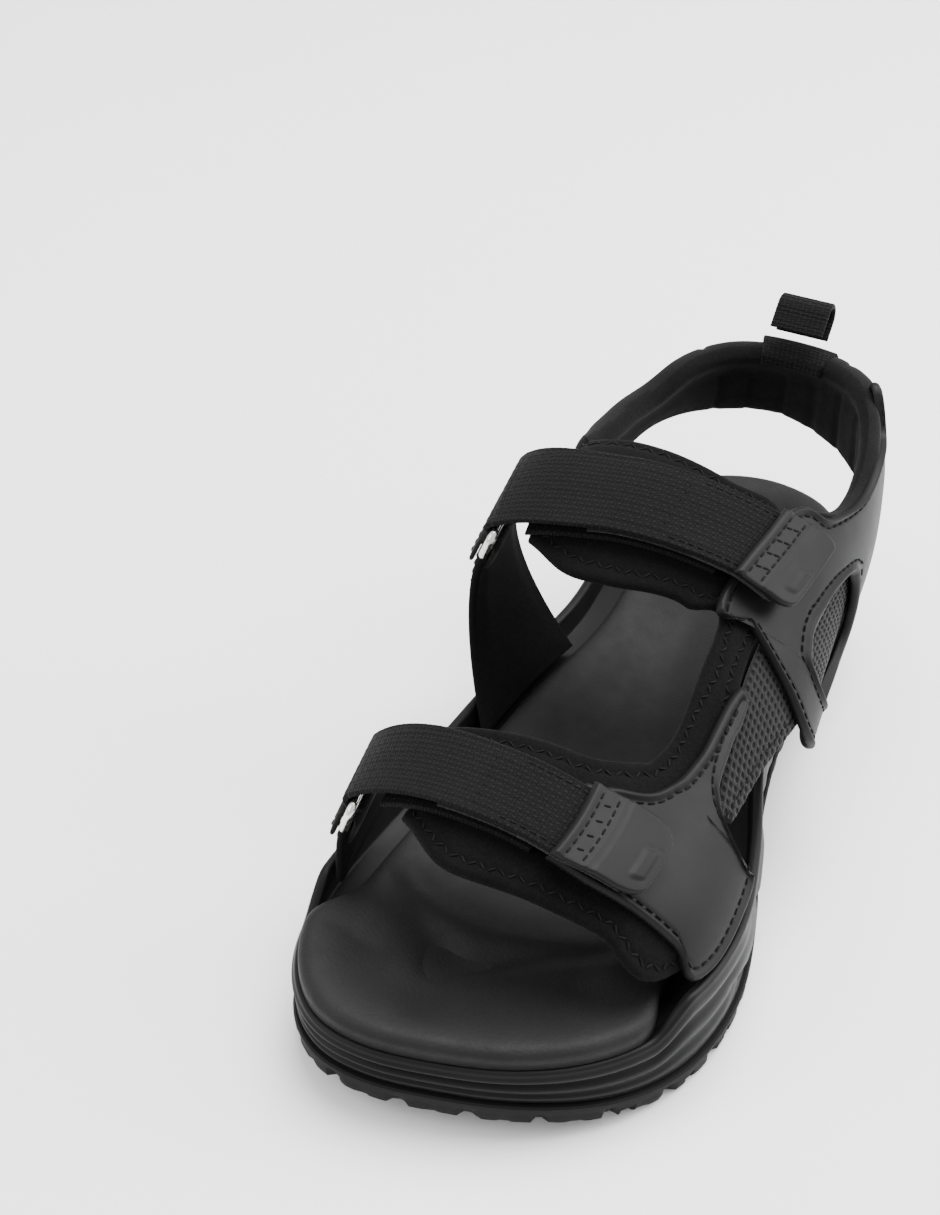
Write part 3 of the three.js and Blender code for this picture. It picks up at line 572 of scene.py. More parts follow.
# ------------------------------------------------------------------ plan and heights of the sole
OUTER_SIDE = [
    [0, HEEL_END], [OUTER_HEEL * 0.62, HEEL_END - 8], [OUTER_HEEL * 0.97, HEEL_END - 34],
    [OUTER_HEEL, HEEL_END - 66], [OUTER_HEEL + 1, HEEL_END - 95], [OUTER_BALL - 18, 6],
    [OUTER_BALL - 7, -26], [OUTER_BALL, -58], [OUTER_BALL - 3, -86],
    [OUTER_BALL - 17, TOE_END + 24], [OUTER_BALL - 39, TOE_END + 9], [-8, TOE_END],
]
INNER_SIDE = [
    [0, HEEL_END], [-INNER_HEEL * 0.62, HEEL_END - 8], [-INNER_HEEL * 0.97, HEEL_END - 34],
    [-INNER_HEEL, HEEL_END - 66], [-INNER_HEEL + 1, HEEL_END - 95], [-INNER_BALL + 8, 10],
    [-INNER_BALL + 4, -26], [-INNER_BALL, -62], [-INNER_BALL - 0.5, -94],
    [-INNER_BALL + 7, TOE_END + 17], [-INNER_BALL + 22, TOE_END + 2.5], [-8, TOE_END],
]
HALF_COUNT = 210


def even(points, count):
    arc = arc_along(points)
    want = np.linspace(0, arc[-1], count + 1)
    return np.stack([np.interp(want, arc, points[:, k]) for k in range(2)], -1)


def plan():
    t = np.linspace(0, 1, 600)
    outer = even(curve(OUTER_SIDE, t), HALF_COUNT)
    inner = even(curve(INNER_SIDE, t), HALF_COUNT)
    line = relaxed(np.vstack([outer[:-1], inner[:0:-1]]), 30)
    ahead = np.roll(line, -3, 0) - np.roll(line, 3, 0)
    inward = unit(np.stack([ahead[:, 1], -ahead[:, 0]], -1))
    return line, inward


PLAN, INWARD = plan()
COUNT = len(PLAN)
SOLE_ARC = arc_along(PLAN)


def share_of(y):
    return np.clip((y - TOE_END) / (HEEL_END - TOE_END), 0, 1)


def ground(y):
    t = share_of(y)
    return TOE_SPRING * smooth((0.2 - t) / 0.2) ** 1.5 + 2 * smooth((t - 0.93) / 0.07)


def ledge(y):
    return lerp(LEDGE_TOE, LEDGE_HEEL, smooth((share_of(y) - 0.25) / 0.6))


def side_share(y):
    t = share_of(y)
    return smooth((t - 0.125) / 0.055) * smooth((0.93 - t) / 0.08)


def lip_top(y):
    return ledge(y) + LIP_RISE * side_share(y)


def sole_ring(inset, height):
    spot = PLAN + INWARD * np.broadcast_to(inset, COUNT)[:, None]
    return np.column_stack([spot, np.broadcast_to(height, COUNT)])


def stacked(name, rings, material, replaced):
    rows = len(rings)
    points = np.concatenate(rings)
    quads = grid_faces(COUNT, rows, wrap=True)
    order = np.arange(rows * COUNT).reshape(rows, COUNT).T.ravel()
    faces = [list(f) for f in order[quads]]
    faces.append(list(range(COUNT)))
    faces.append([(rows - 1) * COUNT + k for k in range(COUNT)][::-1])
    return mesh_object(name, points, faces, material, "sandal", None, replaced)


Y = PLAN[:, 1]
SOLE_T = share_of(Y)
GROUND, LEDGE, LIP = ground(Y), ledge(Y), lip_top(Y)
TREAD_TOP = TREAD + GROUND
TOE_ZONE = smooth((0.34 - SOLE_T) / 0.12)
BACK_ZONE = smooth((SOLE_T - 0.86) / 0.08)
SIDE_ZONE = (1 - TOE_ZONE) * (1 - BACK_ZONE)
LOBE = 41.0  # length of one sculpted wave on the side of the sole
LOBE_SLANT = 46.0  # how far it leans over the height of the side


def notch(pitch, width, phase=0.0):
    """1 in the notches between the lugs round the edge of the tread, else 0."""
    place = np.mod(SOLE_ARC + phase, pitch) - pitch / 2
    return smooth((width / 2 + 0.8 - np.abs(place)) / 0.8)


def build_outsole():
    """Lugs round the edge of the tread, and cross grooves through it."""
    deep = notch(GROOVE_PITCH, 3.2)
    shallow = notch(GROOVE_PITCH / 2, 1.8, 4.7)
    levels = [
        (5.0 + 0.8 * deep, GROUND),
        (1.6 + 1.5 * deep, GROUND + 0.15),
        (0.8 + 1.5 * deep + 0.5 * shallow, GROUND + 0.7),
        (0.4 + 1.3 * deep + 0.5 * shallow, GROUND + 2.0),
        (0.3 + 1.0 * deep + 0.3 * shallow, GROUND + 3.4),
        (0.3 + 0.3 * deep, GROUND + 4.4),
        (0.1, GROUND + 5.2), (0.1, TREAD_TOP - 0.6), (0.6, TREAD_TOP - 0.05),
        (2.0, TREAD_TOP), (5.0, TREAD_TOP),
    ]
    sole = stacked("tread", [sole_ring(*level) for level in levels], RUBBER, ("outsole",))
    work = bmesh.new()
    first = math.ceil((TOE_END + 12) / GROOVE_PITCH)
    final = math.floor((HEEL_END - 12) / GROOVE_PITCH)
    block = Matrix.Diagonal((3 * OUTER_BALL * MM, GROOVE_WIDTH * MM, 20 * MM, 1))
    for k in range(first, final + 1):
        y = (k + 0.5) * GROOVE_PITCH
        z = float(ground(np.array(y))) + GROOVE_DEPTH - 10
        bmesh.ops.create_cube(work, size=1.0, matrix=Matrix.Translation(Vector((0, y, z)) * MM) @ block)
    cutter_mesh = bpy.data.meshes.new("grooves")
    work.to_mesh(cutter_mesh)
    work.free()
    cutter = bpy.data.objects.new("grooves", cutter_mesh)
    bpy.context.scene.collection.objects.link(cutter)
    carve = sole.modifiers.new("carve", "BOOLEAN")
    carve.operation = "DIFFERENCE"
    carve.solver = "EXACT"
    carve.object = cutter
    bpy.context.view_layer.update()
    carved = bpy.data.meshes.new_from_object(sole.evaluated_get(bpy.context.evaluated_depsgraph_get()))
    sole.modifiers.remove(carve)
    sole.data = carved
    bpy.data.objects.remove(cutter)
    soften = sole.modifiers.new("soften", "BEVEL")
    soften.width = 0.35 * MM
    soften.segments = 2
    soften.limit_method = "ANGLE"
    soften.angle_limit = math.radians(40)
    carved.polygons.foreach_set("use_smooth", np.ones(len(carved.polygons), bool))
    carved.set_sharp_from_angle(angle=math.radians(38))


def build_midsole():
    """Stripes round the toe and heel, slanting waves along the sides, and the lip above the ledge."""
    low = TREAD_TOP + 0.1
    rings = [sole_ring(5.0, low), sole_ring(2.2, low)]
    for w in np.linspace(0, 1, 34):
        z = lerp(low + 0.5, LIP - LIP_EDGE, w)
        base = 1.5 * (1 - smooth(w / 0.3)) + 0.9 * smooth((w - 0.8) / 0.2) ** 2
        toe = 1.5 * hill(w, 0.30, 0.09) + 1.7 * hill(w, 0.66, 0.1) + 0.3 * (1 - math.cos(2 * math.pi * w))
        run = (SOLE_ARC - LOBE_SLANT * w * np.where(np.arange(COUNT) < HALF_COUNT, 1, -1)) / LOBE
        frac = np.mod(run, 1.0)
        edge = np.minimum(frac, 1 - frac) * LOBE
        lobe = 1.9 * (1 - smooth(frac / 0.55)) * smooth(frac * LOBE / 1.8) + 1.2 * hill(edge, 0, 2.2)
        fade = smooth(w / 0.14) * smooth((1 - w) / 0.12)
        side = 0.8 * hill(w, 0.16, 0.05) + lobe * fade
        back = 1.2 * hill(w, 0.35, 0.06) + 1.2 * hill(w, 0.62, 0.06)
        rings.append(sole_ring(base + TOE_ZONE * toe + SIDE_ZONE * side + BACK_ZONE * back, z))
    for turn in np.linspace(20, 90, 5):
        angle = math.radians(turn)
        rings.append(sole_ring(0.9 + 1.4 * (1 - math.cos(angle)), LIP + LIP_EDGE * (math.sin(angle) - 1)))
    levels = [
        (LIP_EDGE + LIP_WIDTH - 0.6, LIP - 0.1), (LIP_EDGE + LIP_WIDTH, LIP - 0.7),
        (1.6 + LIP_WIDTH, LEDGE + 0.4), (2.4 + LIP_WIDTH, LEDGE), (14, LEDGE),
    ]
    rings += [sole_ring(*level) for level in levels]
    stacked("sole_block", rings, FOAM, ("midsole",))


CREASES = [  # ends, depth and width
    ((-34, -79), (-9, -94), 1.8, 4.5),
    ((-7, -98), (36, -75), 2.6, 3.6),
    ((-8, -95), (-4, -114), 1.0, 6.0),
]


def build_footbed():
    """The dish, a low bar under the toes with its creases, and a cup for the heel."""
    inset = 2 + (LIP_WIDTH + STRAP_SLOT - 0.5) * side_share(Y)
    edge = relaxed(sole_ring(inset, 0)[:, :2], 12)
    outer, inner = edge[1:HALF_COUNT], edge[:HALF_COUNT:-1]
    inner = inner[: len(outer)]
    near = np.array([0, 0.15, 0.45, 0.9, 1.5, 2.2, 3.2, 4.5, 6.5, 9])
    length = np.linalg.norm(outer - inner, axis=1)
    fit = np.minimum(1, 0.47 * length / near[-1])[:, None]
    middle = np.linspace(0, 1, 34)[1:-1][None]
    a = near[None] * fit
    between = a[:, -1:] + (length[:, None] - 2 * a[:, -1:]) * middle
    across = np.concatenate([a, between, length[:, None] - a[:, ::-1]], 1)
    share = (across / length[:, None])[..., None]
    spots = outer[:, None] * (1 - share) + inner[:, None] * share
    flat = spots.reshape(-1, 2)
    d = np.full(len(flat), 1e9)
    start, stop = edge, np.roll(edge, -1, 0)
    for k in range(0, len(flat), 2000):
        part = flat[k:k + 2000, None]
        way = stop - start
        t = np.clip(((part - start) * way).sum(-1) / (way**2).sum(-1), 0, 1)
        d[k:k + 2000] = np.linalg.norm(start + way * t[..., None] - part, axis=-1).min(1)
    x, y = flat[:, 0], flat[:, 1]
    rim = ledge(y) + FOOTBED_RIM
    round_ = 3.0 * (1 - np.sqrt(np.clip(1 - (1 - np.minimum(d / 3.6, 1)) ** 2, 0, 1)))
    dish = (FOOTBED_DISH + 0.6) * smooth((d - 3.5) / 20)
    bar = 3.2 * hill(y, -84 + 0.004 * (x - 2) ** 2, 9) * smooth((d - 2) / 14)
    z = rim - round_ - dish + bar
    for (x0, y0), (x1, y1), depth, wide in CREASES:
        way = np.array([x1 - x0, y1 - y0], float)
        t = np.clip(((x - x0) * way[0] + (y - y0) * way[1]) / (way @ way), 0, 1)
        off = np.hypot(x - x0 - way[0] * t, y - y0 - way[1] * t)
        z -= depth * np.exp(-((off / wide) ** 2)) * smooth((d - 1) / 8)
    heel = np.hypot(x, (y - 92) / 1.35)
    z -= 1.2 * smooth((30 - heel) / 24)
    rows, columns = across.shape
    points = np.column_stack([flat, z])
    faces = [list(f) for f in grid_faces(rows, columns)]
    order = np.arange(rows * columns).reshape(rows, columns)
    loop = np.concatenate([order[0], order[1:, -1], order[-1, -2::-1], order[-2:0:-1, 0]]).tolist()
    base = len(points)
    skirt = points[loop].copy()
    skirt[:, 2] = ledge(skirt[:, 1]) + 0.3
    points = np.vstack([points, skirt])
    count = len(loop)
    for k in range(count):
        m = (k + 1) % count
        faces.append([loop[k], loop[m], base + m, base + k])
    faces.append([base + k for k in range(count)])
    mesh_object("footbed_pad", points, faces, BED, "sandal", None, ("footbed",))


# ------------------------------------------------------------------ layers of the upper
MESH_MIDDLE, MESH_HALF = 2.1, 1.3  # height of the mesh's middle above the last, and half its thickness


def bead(arc, a, b, d):
    """The moulded overlays' raised edge and the groove of their seam."""
    return 0.75 * hill(d, 1.5, 0.9) - 0.25 * hill(d, 3.4, 0.7)


def double_bead(arc, a, b, d):
    window = 0.95 * hill(a, 1.9, 1.2) - 0.3 * hill(a, 4.6, 0.8)
    return window + 0.75 * hill(b, 1.5, 0.9) - 0.25 * hill(b, 3.4, 0.7)


def padding(arc, a, b, d):
    return 0.5 * smooth((d - 1) / 6) - 0.45 * (hill(a, 4.2, 0.9) + hill(b, 4.2, 0.9))


def holes(arc, a, b, d):
    return 0.3 - 0.56 * np.abs(np.sin(arc * math.pi / 2.6) * np.sin(a * math.pi / 1.9))


def build_liner():
    window = [
        [1.5, 126], [1.56, 96], [1.6, 68], [1.68, 58], [1.75, 52], [1.85, 47],
        [2.3, 42], [2.9, 41], [3.05, 54], [2.9, 84], [2.9, 104], [3.1, 120],
    ]
    outside = [
        [0.68, 126], [0.36, 100], [0.4, 58], [0.5, 36], [0.68, 12], [1.3, 7],
        [1.72, 24], [3.3, 30], [4.4, 44], [4.5, 66], [4.6, 100], [4.5, 120],
    ]
    liner = ruled(window, outside, LINER / 2)
    pad = liner.build(
        "vamp_band", LINER_CLOTH, "sandal", LINER / 2, step=1.5, relief=padding, replaced=("vamp_liner",),
    )
    for side in (0, 1):
        stitch_row("sandal", *side_line(liner, side, 4.2, LINER / 2 + 0.1), 2.4, 0.3, 0.28, zigzag=42)


def build_front_wing():
    top = [
        [1.36, 67], [1.4, 61], [1.45, 56], [1.5, 50], [1.55, 46], [1.6, 43.5], [1.66, 41.5],
        [1.73, 39.5], [1.82, 37.5], [1.93, 36], [2.1, 34.2], [2.3, 33], [2.52, 31.6], [2.72, 29.5],
    ]
    low = [
        [0.7, 66], [0.7, 50], [0.76, 35], [0.84, 18], [0.93, 5.5], [1.25, 4], [1.56, 4],
        [1.68, 9], [1.74, 17], [1.86, 23.5], [2.08, 26], [2.3, 26], [2.5, 25], [2.68, 25.2],
    ]
    wing = ruled(low, top, SHELL_LOW + SHELL / 2)
    piece = wing.build(
        "front_wing", OVERLAY, "sandal", SHELL / 2, 1.0, 1.4, relief=bead, replaced=("front_overlay",),
    )
    for side in (0, 1):
        stitch_row("sandal", *side_line(wing, side, 3.6, SHELL / 2 + 0.02, 0.02, 0.94), 2.3, 0.9, 0.27)


def build_rear_wing():
    teardrop = [
        [4.46, 8], [4.46, 9.5], [4.43, 11], [4.3, 13.2], [4.0, 15.5], [3.7, 16], [3.45, 13.5],
        [3.34, 8], [3.36, 3], [3.45, -2], [3.65, -5.5], [3.95, -6], [4.25, -2], [4.42, 4],
    ]
    outline = [
        [7.4, -46], [6.95, -24], [6.3, 0], [5.5, 17], [4.75, 31], [4.2, 46], [3.42, 47],
        [3.22, 35], [3.02, 17], [2.95, 5], [3.1, -3], [3.8, -13], [5.2, -30], [6.15, -46],
    ]
    quarter = ruled(teardrop, outline, SHELL_LOW + SHELL / 2, ring=True)
    piece = quarter.build(
        "rear_wing", OVERLAY, "sandal", SHELL / 2, 1.0, 1.4, relief=double_bead, replaced=("rear_overlay",),
    )
    for side, inset, length, count in ((0, 4.7, 2.2, 200), (1, 3.6, 2.3, 300)):
        points, normals = side_line(quarter, side, inset, SHELL / 2 + 0.02, count=count)
        stitch_row("sandal", points[:-1], normals[:-1], length, 0.9, 0.27, closed=True)


def build_meshes():
    flap = ruled(
        [[1.86, 22.5], [2.4, 26], [2.9, 27], [3.22, 27.5]], [[1.92, 16], [2.35, 13], [2.8, 8], [3.12, 4]],
        MESH_MIDDLE,
    )
    inset = ruled([[3.3, 19], [3.9, 19], [4.6, 14]], [[3.45, -9], [4.0, -11], [4.7, -8]], MESH_MIDDLE)
    for sheet, node in ((flap, "side_mesh"), (inset, "rear_mesh")):
        piece = sheet.build(
            node + "_cloth", MESH_CLOTH, "sandal", MESH_HALF, step=0.55, relief=holes, replaced=(node,),
        )
    stitch_row("sandal", *side_line(flap, 1, 3.2, 1.5), 2.2, 0.8, 0.26)


# ------------------------------------------------------------------ collar
COLLAR_TOP = [
    [4.72, 39], [5.0, 27], [5.5, 18], [6.3, 3], [7.1, -18], [7.75, -40], [8.0, -65],
    [7.95, -92], [7.85, -120], [7.5, -145], [6.8, -170], [6.1, -198], [5.4, -217], [4.75, -228],
]
COLLAR_BOTTOM = [
    [4.68, 22], [4.78, 8], [5.0, 0], [5.3, -14], [5.7, -34], [6.1, -48], [6.5, -68],
    [6.75, -92], [6.6, -118], [6.3, -142], [5.8, -167], [5.3, -184], [4.9, -197], [4.6, -206],
]
HEEL_FROM, HEEL_TO = 0.415, 0.66  # where the heel patch starts and ends, along the collar
HEEL_AXIS = np.array([0.003, 0.088])  # the ankle's upright axis, in metres


def build_collar():
    """One padded roll: a rim, seams round the heel patch, and pleats in the lining."""

    def thicker(u):
        return smooth((u - 0.36) / 0.06)

    collar = ruled(COLLAR_TOP, COLLAR_BOTTOM, lambda u: lerp(1.75, 2.8, thicker(u)))
    length = collar.length

    def outer(arc, a, b, d):
        rim = 1.9 * hill(a, 3.6, 3.4) * smooth(arc / 14) * smooth((length - arc) / 14)
        seams = hill(arc, HEEL_FROM * length, 0.9) + hill(arc, HEEL_TO * length, 0.9)
        soft = 0.5 * smooth((a - 10) / 6) * smooth(b / 6)
        return rim - 0.9 * seams - 0.7 * hill(a, 9.5, 1.1) + soft

    def inner(arc, a, b, d):
        pleats = sum(hill(arc, length * at, 1.1) for at in (0.34, 0.40, 0.46, 0.52, 0.58, 0.64))
        soft = 0.5 * smooth((a - 8) / 8) * smooth(b / 6)
        return 1.2 * hill(a, 3.4, 3.2) + soft - 0.8 * pleats * smooth((a - 7) / 4)

    pad = collar.build(
        "collar_pad", [COLLAR_CLOTH, LINING], "sandal", lambda u: lerp(1.7, 2.8, thicker(u)), 2.2, 1.5,
        relief=outer, under=inner, replaced=("collar_lining", "collar_foam", "heel_patch", "collar_arm"),
    )
    mesh = pad.data
    count = len(mesh.polygons)
    centres = np.zeros(count * 3)
    normals = np.zeros(count * 3)
    mesh.polygons.foreach_get("center", centres)
    mesh.polygons.foreach_get("normal", normals)
    way = HEEL_AXIS - centres.reshape(-1, 3)[:, :2]
    inward = (way * normals.reshape(-1, 3)[:, :2]).sum(1) / np.linalg.norm(way, axis=1)
    mesh.polygons.foreach_set("material_index", (inward > 0.25).astype(np.int32))
    stitch_row("sandal", *side_line(collar, 0, 10.8, 3.2, 0.42, 0.99, 240), 2.2, 0.9, 0.26)
    for at in (HEEL_FROM + 0.012, HEEL_TO + 0.012, HEEL_TO - 0.012):
        stitch_row("sandal", *cross_line(collar, at * length, 3.25, 11), 2.0, 0.9, 0.26)


# ------------------------------------------------------------------ strap sets
# Each set gives the directions of its ring, of the strap's end, of its tab and of the lower webbing's end,
# and the stations of the front and rear edges there. skew turns the ring a little. root is where the inner
# side piece stands on the last; without it, the piece stands in the sole's slot.
SETS = [
    dict(
        name="front", ring=[0.76, 1.38], ringPhi=143, skew=[-1, 1], endPhi=62, end=[0.68, 1.26],
        tabPhi=37, tab=[0.76, 1.3], anchorPhi=72,
        root=[[0.66, 173], [1.05, 171], [1.5, 169]], panel="medial_front_tab",
    ),
    dict(
        name="instep", ring=[3.08, 3.96], ringPhi=128, skew=[0, 0], endPhi=46, end=[3.42, 4.24],
        tabPhi=30, tab=[3.42, 4.3], anchorPhi=52,
        root=None, panel="medial_instep_panel",
    ),
]
RING_HANG = 0.55  # 0: a ring lies along the side of the foot, 1: it hangs straight down
WEBBING_RUN = 92  # about the length of the upper webbing from its fold to its end
KEEPER_SLACK, KEEPER_CLOTH, KEEPER_LEG = 0.2, 1.4, 8.0
SIDE_PAD, PAD_SEAT, PAD_BOW = 2.8, 0.2, 0.45
SEAT_FROM, SEAT_TO, SEAT_INSET, SEAT_RISE = -14.0, 32.0, 9.9, 3.4
LADDER = (3.4, 8.0)  # the two rails of the stitched ladder on a tab, in mm from its start
PLAQUE_END, PLAQUE_SIDE = 5.2, 9.5  # middle of the tab's plain plaque, from the tab's end and side


def pair(u, v):
    return np.broadcast_arrays(np.asarray(u, float), np.asarray(v, float))


def strap_edge(row, k, phi, widen=0.0):
    """Station of the strap's front (0) or rear (1) edge in direction phi."""
    t = (row["endPhi"] - phi) / (row["endPhi"] - row["tabPhi"])
    before = lerp(row["ring"][k], row["end"][k], (row["ringPhi"] - phi) / (row["ringPhi"] - row["endPhi"]))
    after = lerp(row["end"][k], row["tab"][k], t)
    return np.where(phi < row["endPhi"], after, before) + (-widen if k == 0 else widen)


def skewed(row, k, phi):
    """The direction of an edge of the strap: its ring is turned a little."""
    return phi + row["skew"][k] * np.clip((phi - row["endPhi"]) / (row["ringPhi"] - row["endPhi"]), 0, 1)


def strip(row, start, end, middle, widen=0.0, corner=0.0):
    def side(k):
        def edge(u):
            phi = lerp(start, end, u)
            pull = corner * (1 - np.sqrt(np.clip(1 - np.clip((u - 0.72) / 0.28, 0, 1) ** 2, 0, 1)))
            return np.stack([strap_edge(row, k, phi, widen - pull), skewed(row, k, phi)], -1)
        return edge
    return ruled(side(0), side(1), middle)


def ring_frame(row):
    """Bar ends, axis, the foot's own directions there (down, out) and the ring's (hang, face)."""
    s = np.array(row["ring"], float)
    phi = row["ringPhi"] + np.array(row["skew"], float)
    ends = above(s, phi, np.full(2, BAR_HEIGHT))
    around = unit(on_last(s, phi + 0.3) - on_last(s, phi - 0.3))
    axis = unit(ends[1] - ends[0])
    down = unit(unit(around[0]) + unit(around[1]))
    down = unit(down - axis * (down @ axis))
    hang = down + (np.array([0.0, 0.0, -1.0]) - down) * RING_HANG
    hang = unit(hang - axis * (hang @ axis))
    return ends, axis, down, unit(np.cross(axis, down)), hang, unit(np.cross(axis, hang))


def tube(name, path, radius, material, body, replaced, sides=20):
    n = len(path)
    ahead = unit(np.roll(path, -1, 0) - np.roll(path, 1, 0))
    wire = unit(np.cross(ahead[0], ahead[n // 4]))
    side = unit(np.cross(ahead, wire))
    turn = (np.arange(sides) / sides * 2 * math.pi)[None, :, None]
    cloud = path[:, None] + radius * (np.cos(turn) * side[:, None] + np.sin(turn) * wire)
    a = np.arange(n)[:, None] * sides + np.arange(sides)[None]
    b = (np.arange(n)[:, None] + 1) % n * sides + np.arange(sides)[None]
    quads = np.stack([a, b, np.roll(b, -1, 1), np.roll(a, -1, 1)], -1).reshape(-1, 4)
    return mesh_object(name, cloud.reshape(-1, 3), quads, material, body, None, replaced)


def build_ring(row):
    ends, axis, _, _, hang, _ = ring_frame(row)
    middle = ends.mean(0)
    half = np.linalg.norm(ends[1] - ends[0]) / 2 + RING_SIDE
    near, far = half - RING_CORNER, RING_PITCH - RING_CORNER
    path = []
    corners = ((near, RING_CORNER, -90), (near, far, 0), (-near, far, 90), (-near, RING_CORNER, 180))
    for cx, cy, start in corners:
        for turn in np.radians(np.linspace(start, start + 90, 10)):
            path.append((cx + RING_CORNER * math.cos(turn), cy + RING_CORNER * math.sin(turn)))
    path = np.array([middle + axis * x + hang * y for x, y in path])
    name = row["name"]
    wire = tube(name + "_wire", path, BAR, NICKEL, name + "_link", (name + "_ring",))


def weave(arc, a, b, d):
    ribs = np.cos(b * 2 * math.pi / 3.1) + np.cos(arc * 2 * math.pi / 2.3)
    return 0.05 * ribs - 0.1 * hill(d, 1.9, 0.5)


def build_webbing(row):
    """The upper webbing, folded round the bar and run across the foot, and the webbing under it."""
    name, flap = row["name"], row["name"] + "_flap"
    ends, _, down, out, _, _ = ring_frame(row)
    fold_mid = FOLD_INNER + WEB / 2
    fold_length = math.pi * fold_mid
    cut = fold_length / (fold_length + WEBBING_RUN)

    def path(u, v):
        u, v = pair(u, v)
        angle = (math.pi * (1 - np.clip(u / cut, 0, 1)))[..., None]
        spine = ends[0] + (ends[1] - ends[0]) * v[..., None]
        turn = out * np.cos(angle) + down * np.sin(angle)
        p_fold = spine + turn * fold_mid
        phi = lerp(row["ringPhi"] - 1.0, row["endPhi"], np.clip((u - cut) / (1 - cut), 0, 1))
        s = lerp(strap_edge(row, 0, phi), strap_edge(row, 1, phi), v)
        phi = lerp(skewed(row, 0, phi), skewed(row, 1, phi), v)
        n_run = normal_at(s, phi)
        p_run = on_last(s, phi) + n_run * (TOP_WEB_LOW + WEB / 2)
        on_run = (u > cut)[..., None]
        return np.where(on_run, p_run, p_fold), np.where(on_run, n_run, turn)

    upper = Sheet(path)
    piece = upper.build(
        name + "_webbing", WEBBING, flap, WEB / 2, 0.8, 0.9, 3, relief=weave,
        replaced=(name + "_upper_strap",),
    )
    for side in (0, 1):
        stitch_row(flap, *side_line(upper, side, 2.2, WEB / 2 + 0.02, 0.72, 0.985, 60), 1.9, 0.8, 0.24)
    stitch_row(flap, *cross_line(upper, upper.length - 27, WEB / 2 + 0.04, 2.4), 1.9, 0.8, 0.24)
    lower = strip(row, row["ringPhi"] - 8, row["anchorPhi"], LOW_WEB_LOW + WEB / 2)
    piece = lower.build(
        name + "_under_webbing", WEBBING, "sandal", WEB / 2, 0.8, 1.1, 3, relief=weave,
        replaced=(name + "_lower_strap",),
    )


def build_patches(row):
    name = row["name"]
    loop = strip(row, row["ringPhi"] - 30, row["tabPhi"] + 5, LOOP_LOW + PATCH / 2, -0.03)
    hook = strip(row, row["endPhi"] + 16, row["tabPhi"] + 4, HOOK_LOW + PATCH / 2, -0.01)
    for sheet, kind, body in ((loop, "_loop", "sandal"), (hook, "_hook", name + "_flap")):
        piece = sheet.build(
            name + kind + "_fuzz", FUZZ, body, PATCH / 2, 0.5, 1.2, 2, replaced=(name + kind + "_patch",),
        )


def build_tab(row):
    """Thumb tab: a ridge, a ladder of stitches, then the pad with a plain raised rectangle."""
    name, flap = row["name"], row["name"] + "_flap"
    tab = strip(row, row["endPhi"] + 2.2, row["tabPhi"] - 1.0, TOP_WEB_LOW + WEB + 0.7, 0.035, 0.12)
    length = tab.length

    def relief(arc, a, b, d):
        ridge = 0.9 * hill(arc, 1.7, 1.0) + 0.6 * hill(arc, 9.6, 0.8)
        pad_top = 0.7 * smooth((arc - 10.2) / 1.2)
        along = np.abs(arc - length + PLAQUE_END)
        across = np.abs(a - PLAQUE_SIDE)
        box = smooth((2.3 - along) / 0.5) * smooth((5.2 - across) / 0.5)
        rim = hill(np.maximum(along - 1.6, across - 4.4), 0.6, 0.35)
        return ridge + pad_top + 0.35 * box - 0.3 * rim * smooth(arc - 10)

    piece = tab.build(
        name + "_thumb_tab", OVERLAY, flap, 0.9, 0.9, 0.8, 4, relief=relief, replaced=(name + "_tab",),
    )
    for arc in LADDER:
        stitch_row(flap, *cross_line(tab, arc, 0.95, 1.6), 2.2, 0.7, 0.3)
    for share in (0.2, 0.4, 0.6, 0.8):
        u = tab.u_at(np.linspace(LADDER[0] + 0.3, LADDER[1] - 0.3, 8))
        v = np.linspace(share - 0.02, share + 0.02, 8)
        stitch_row(flap, *tab.at(u, v, 0.95), 1.9, 0.3, 0.3)


def build_keeper(row):
    """The cloth over the ring's lower bar, with its two legs."""
    name = row["name"]
    ends, axis, _, _, hang, face = ring_frame(row)
    low = ends + hang * RING_PITCH + np.array([[1.0], [-1.0]]) * axis
    radius = BAR + GAP + KEEPER_SLACK + KEEPER_CLOTH / 2
    half_turn = math.pi * radius

    def path(u, v):
        u, v = pair(u, v)
        arc = u * (2 * KEEPER_LEG + half_turn)
        angle = np.clip((arc - KEEPER_LEG) / radius, 0, math.pi)[..., None]
        drop = (np.maximum(KEEPER_LEG - arc, 0) + np.maximum(arc - KEEPER_LEG - half_turn, 0))[..., None]
        turn = face * np.cos(angle) - hang * np.sin(angle)
        return low[0] + (low[1] - low[0]) * v[..., None] + turn * radius + hang * drop, turn

    keeper = Sheet(path)
    piece = keeper.build(
        name + "_keeper_cloth", COLLAR_CLOTH, "sandal", KEEPER_CLOTH / 2, 0.7, 1.0, 3,
        relief=lambda arc, a, b, d: 0.35 * smooth((d - 0.7) / 2), replaced=(name + "_keeper",),
    )
    stitch_row("sandal", *cross_line(keeper, 1.6, 1.1, 1.5), 1.9, 0.8, 0.24)


def last_seat(pairs, v):
    foot = curve(pairs, v)
    n = normal_at(foot[..., 0], foot[..., 1])
    return on_last(foot[..., 0], foot[..., 1]) + n * (SIDE_PAD / 2 + PAD_SEAT), n


def slot_seat(v):
    """The instep piece's lower edge, in the slot between the sole's lip and the footbed."""
    line = curve(INNER_SIDE, np.linspace(0, 1, 400))
    y = lerp(SEAT_FROM, SEAT_TO, v)
    x = np.interp(-y, -line[:, 1], line[:, 0]) + SEAT_INSET
    return np.stack([x, y, ledge(y) + SEAT_RISE], -1), np.broadcast_to([-1.0, 0, 0], x.shape + (3,))


def puff(arc, a, b, d):
    return 0.9 * smooth((d - 1.2) / 6)


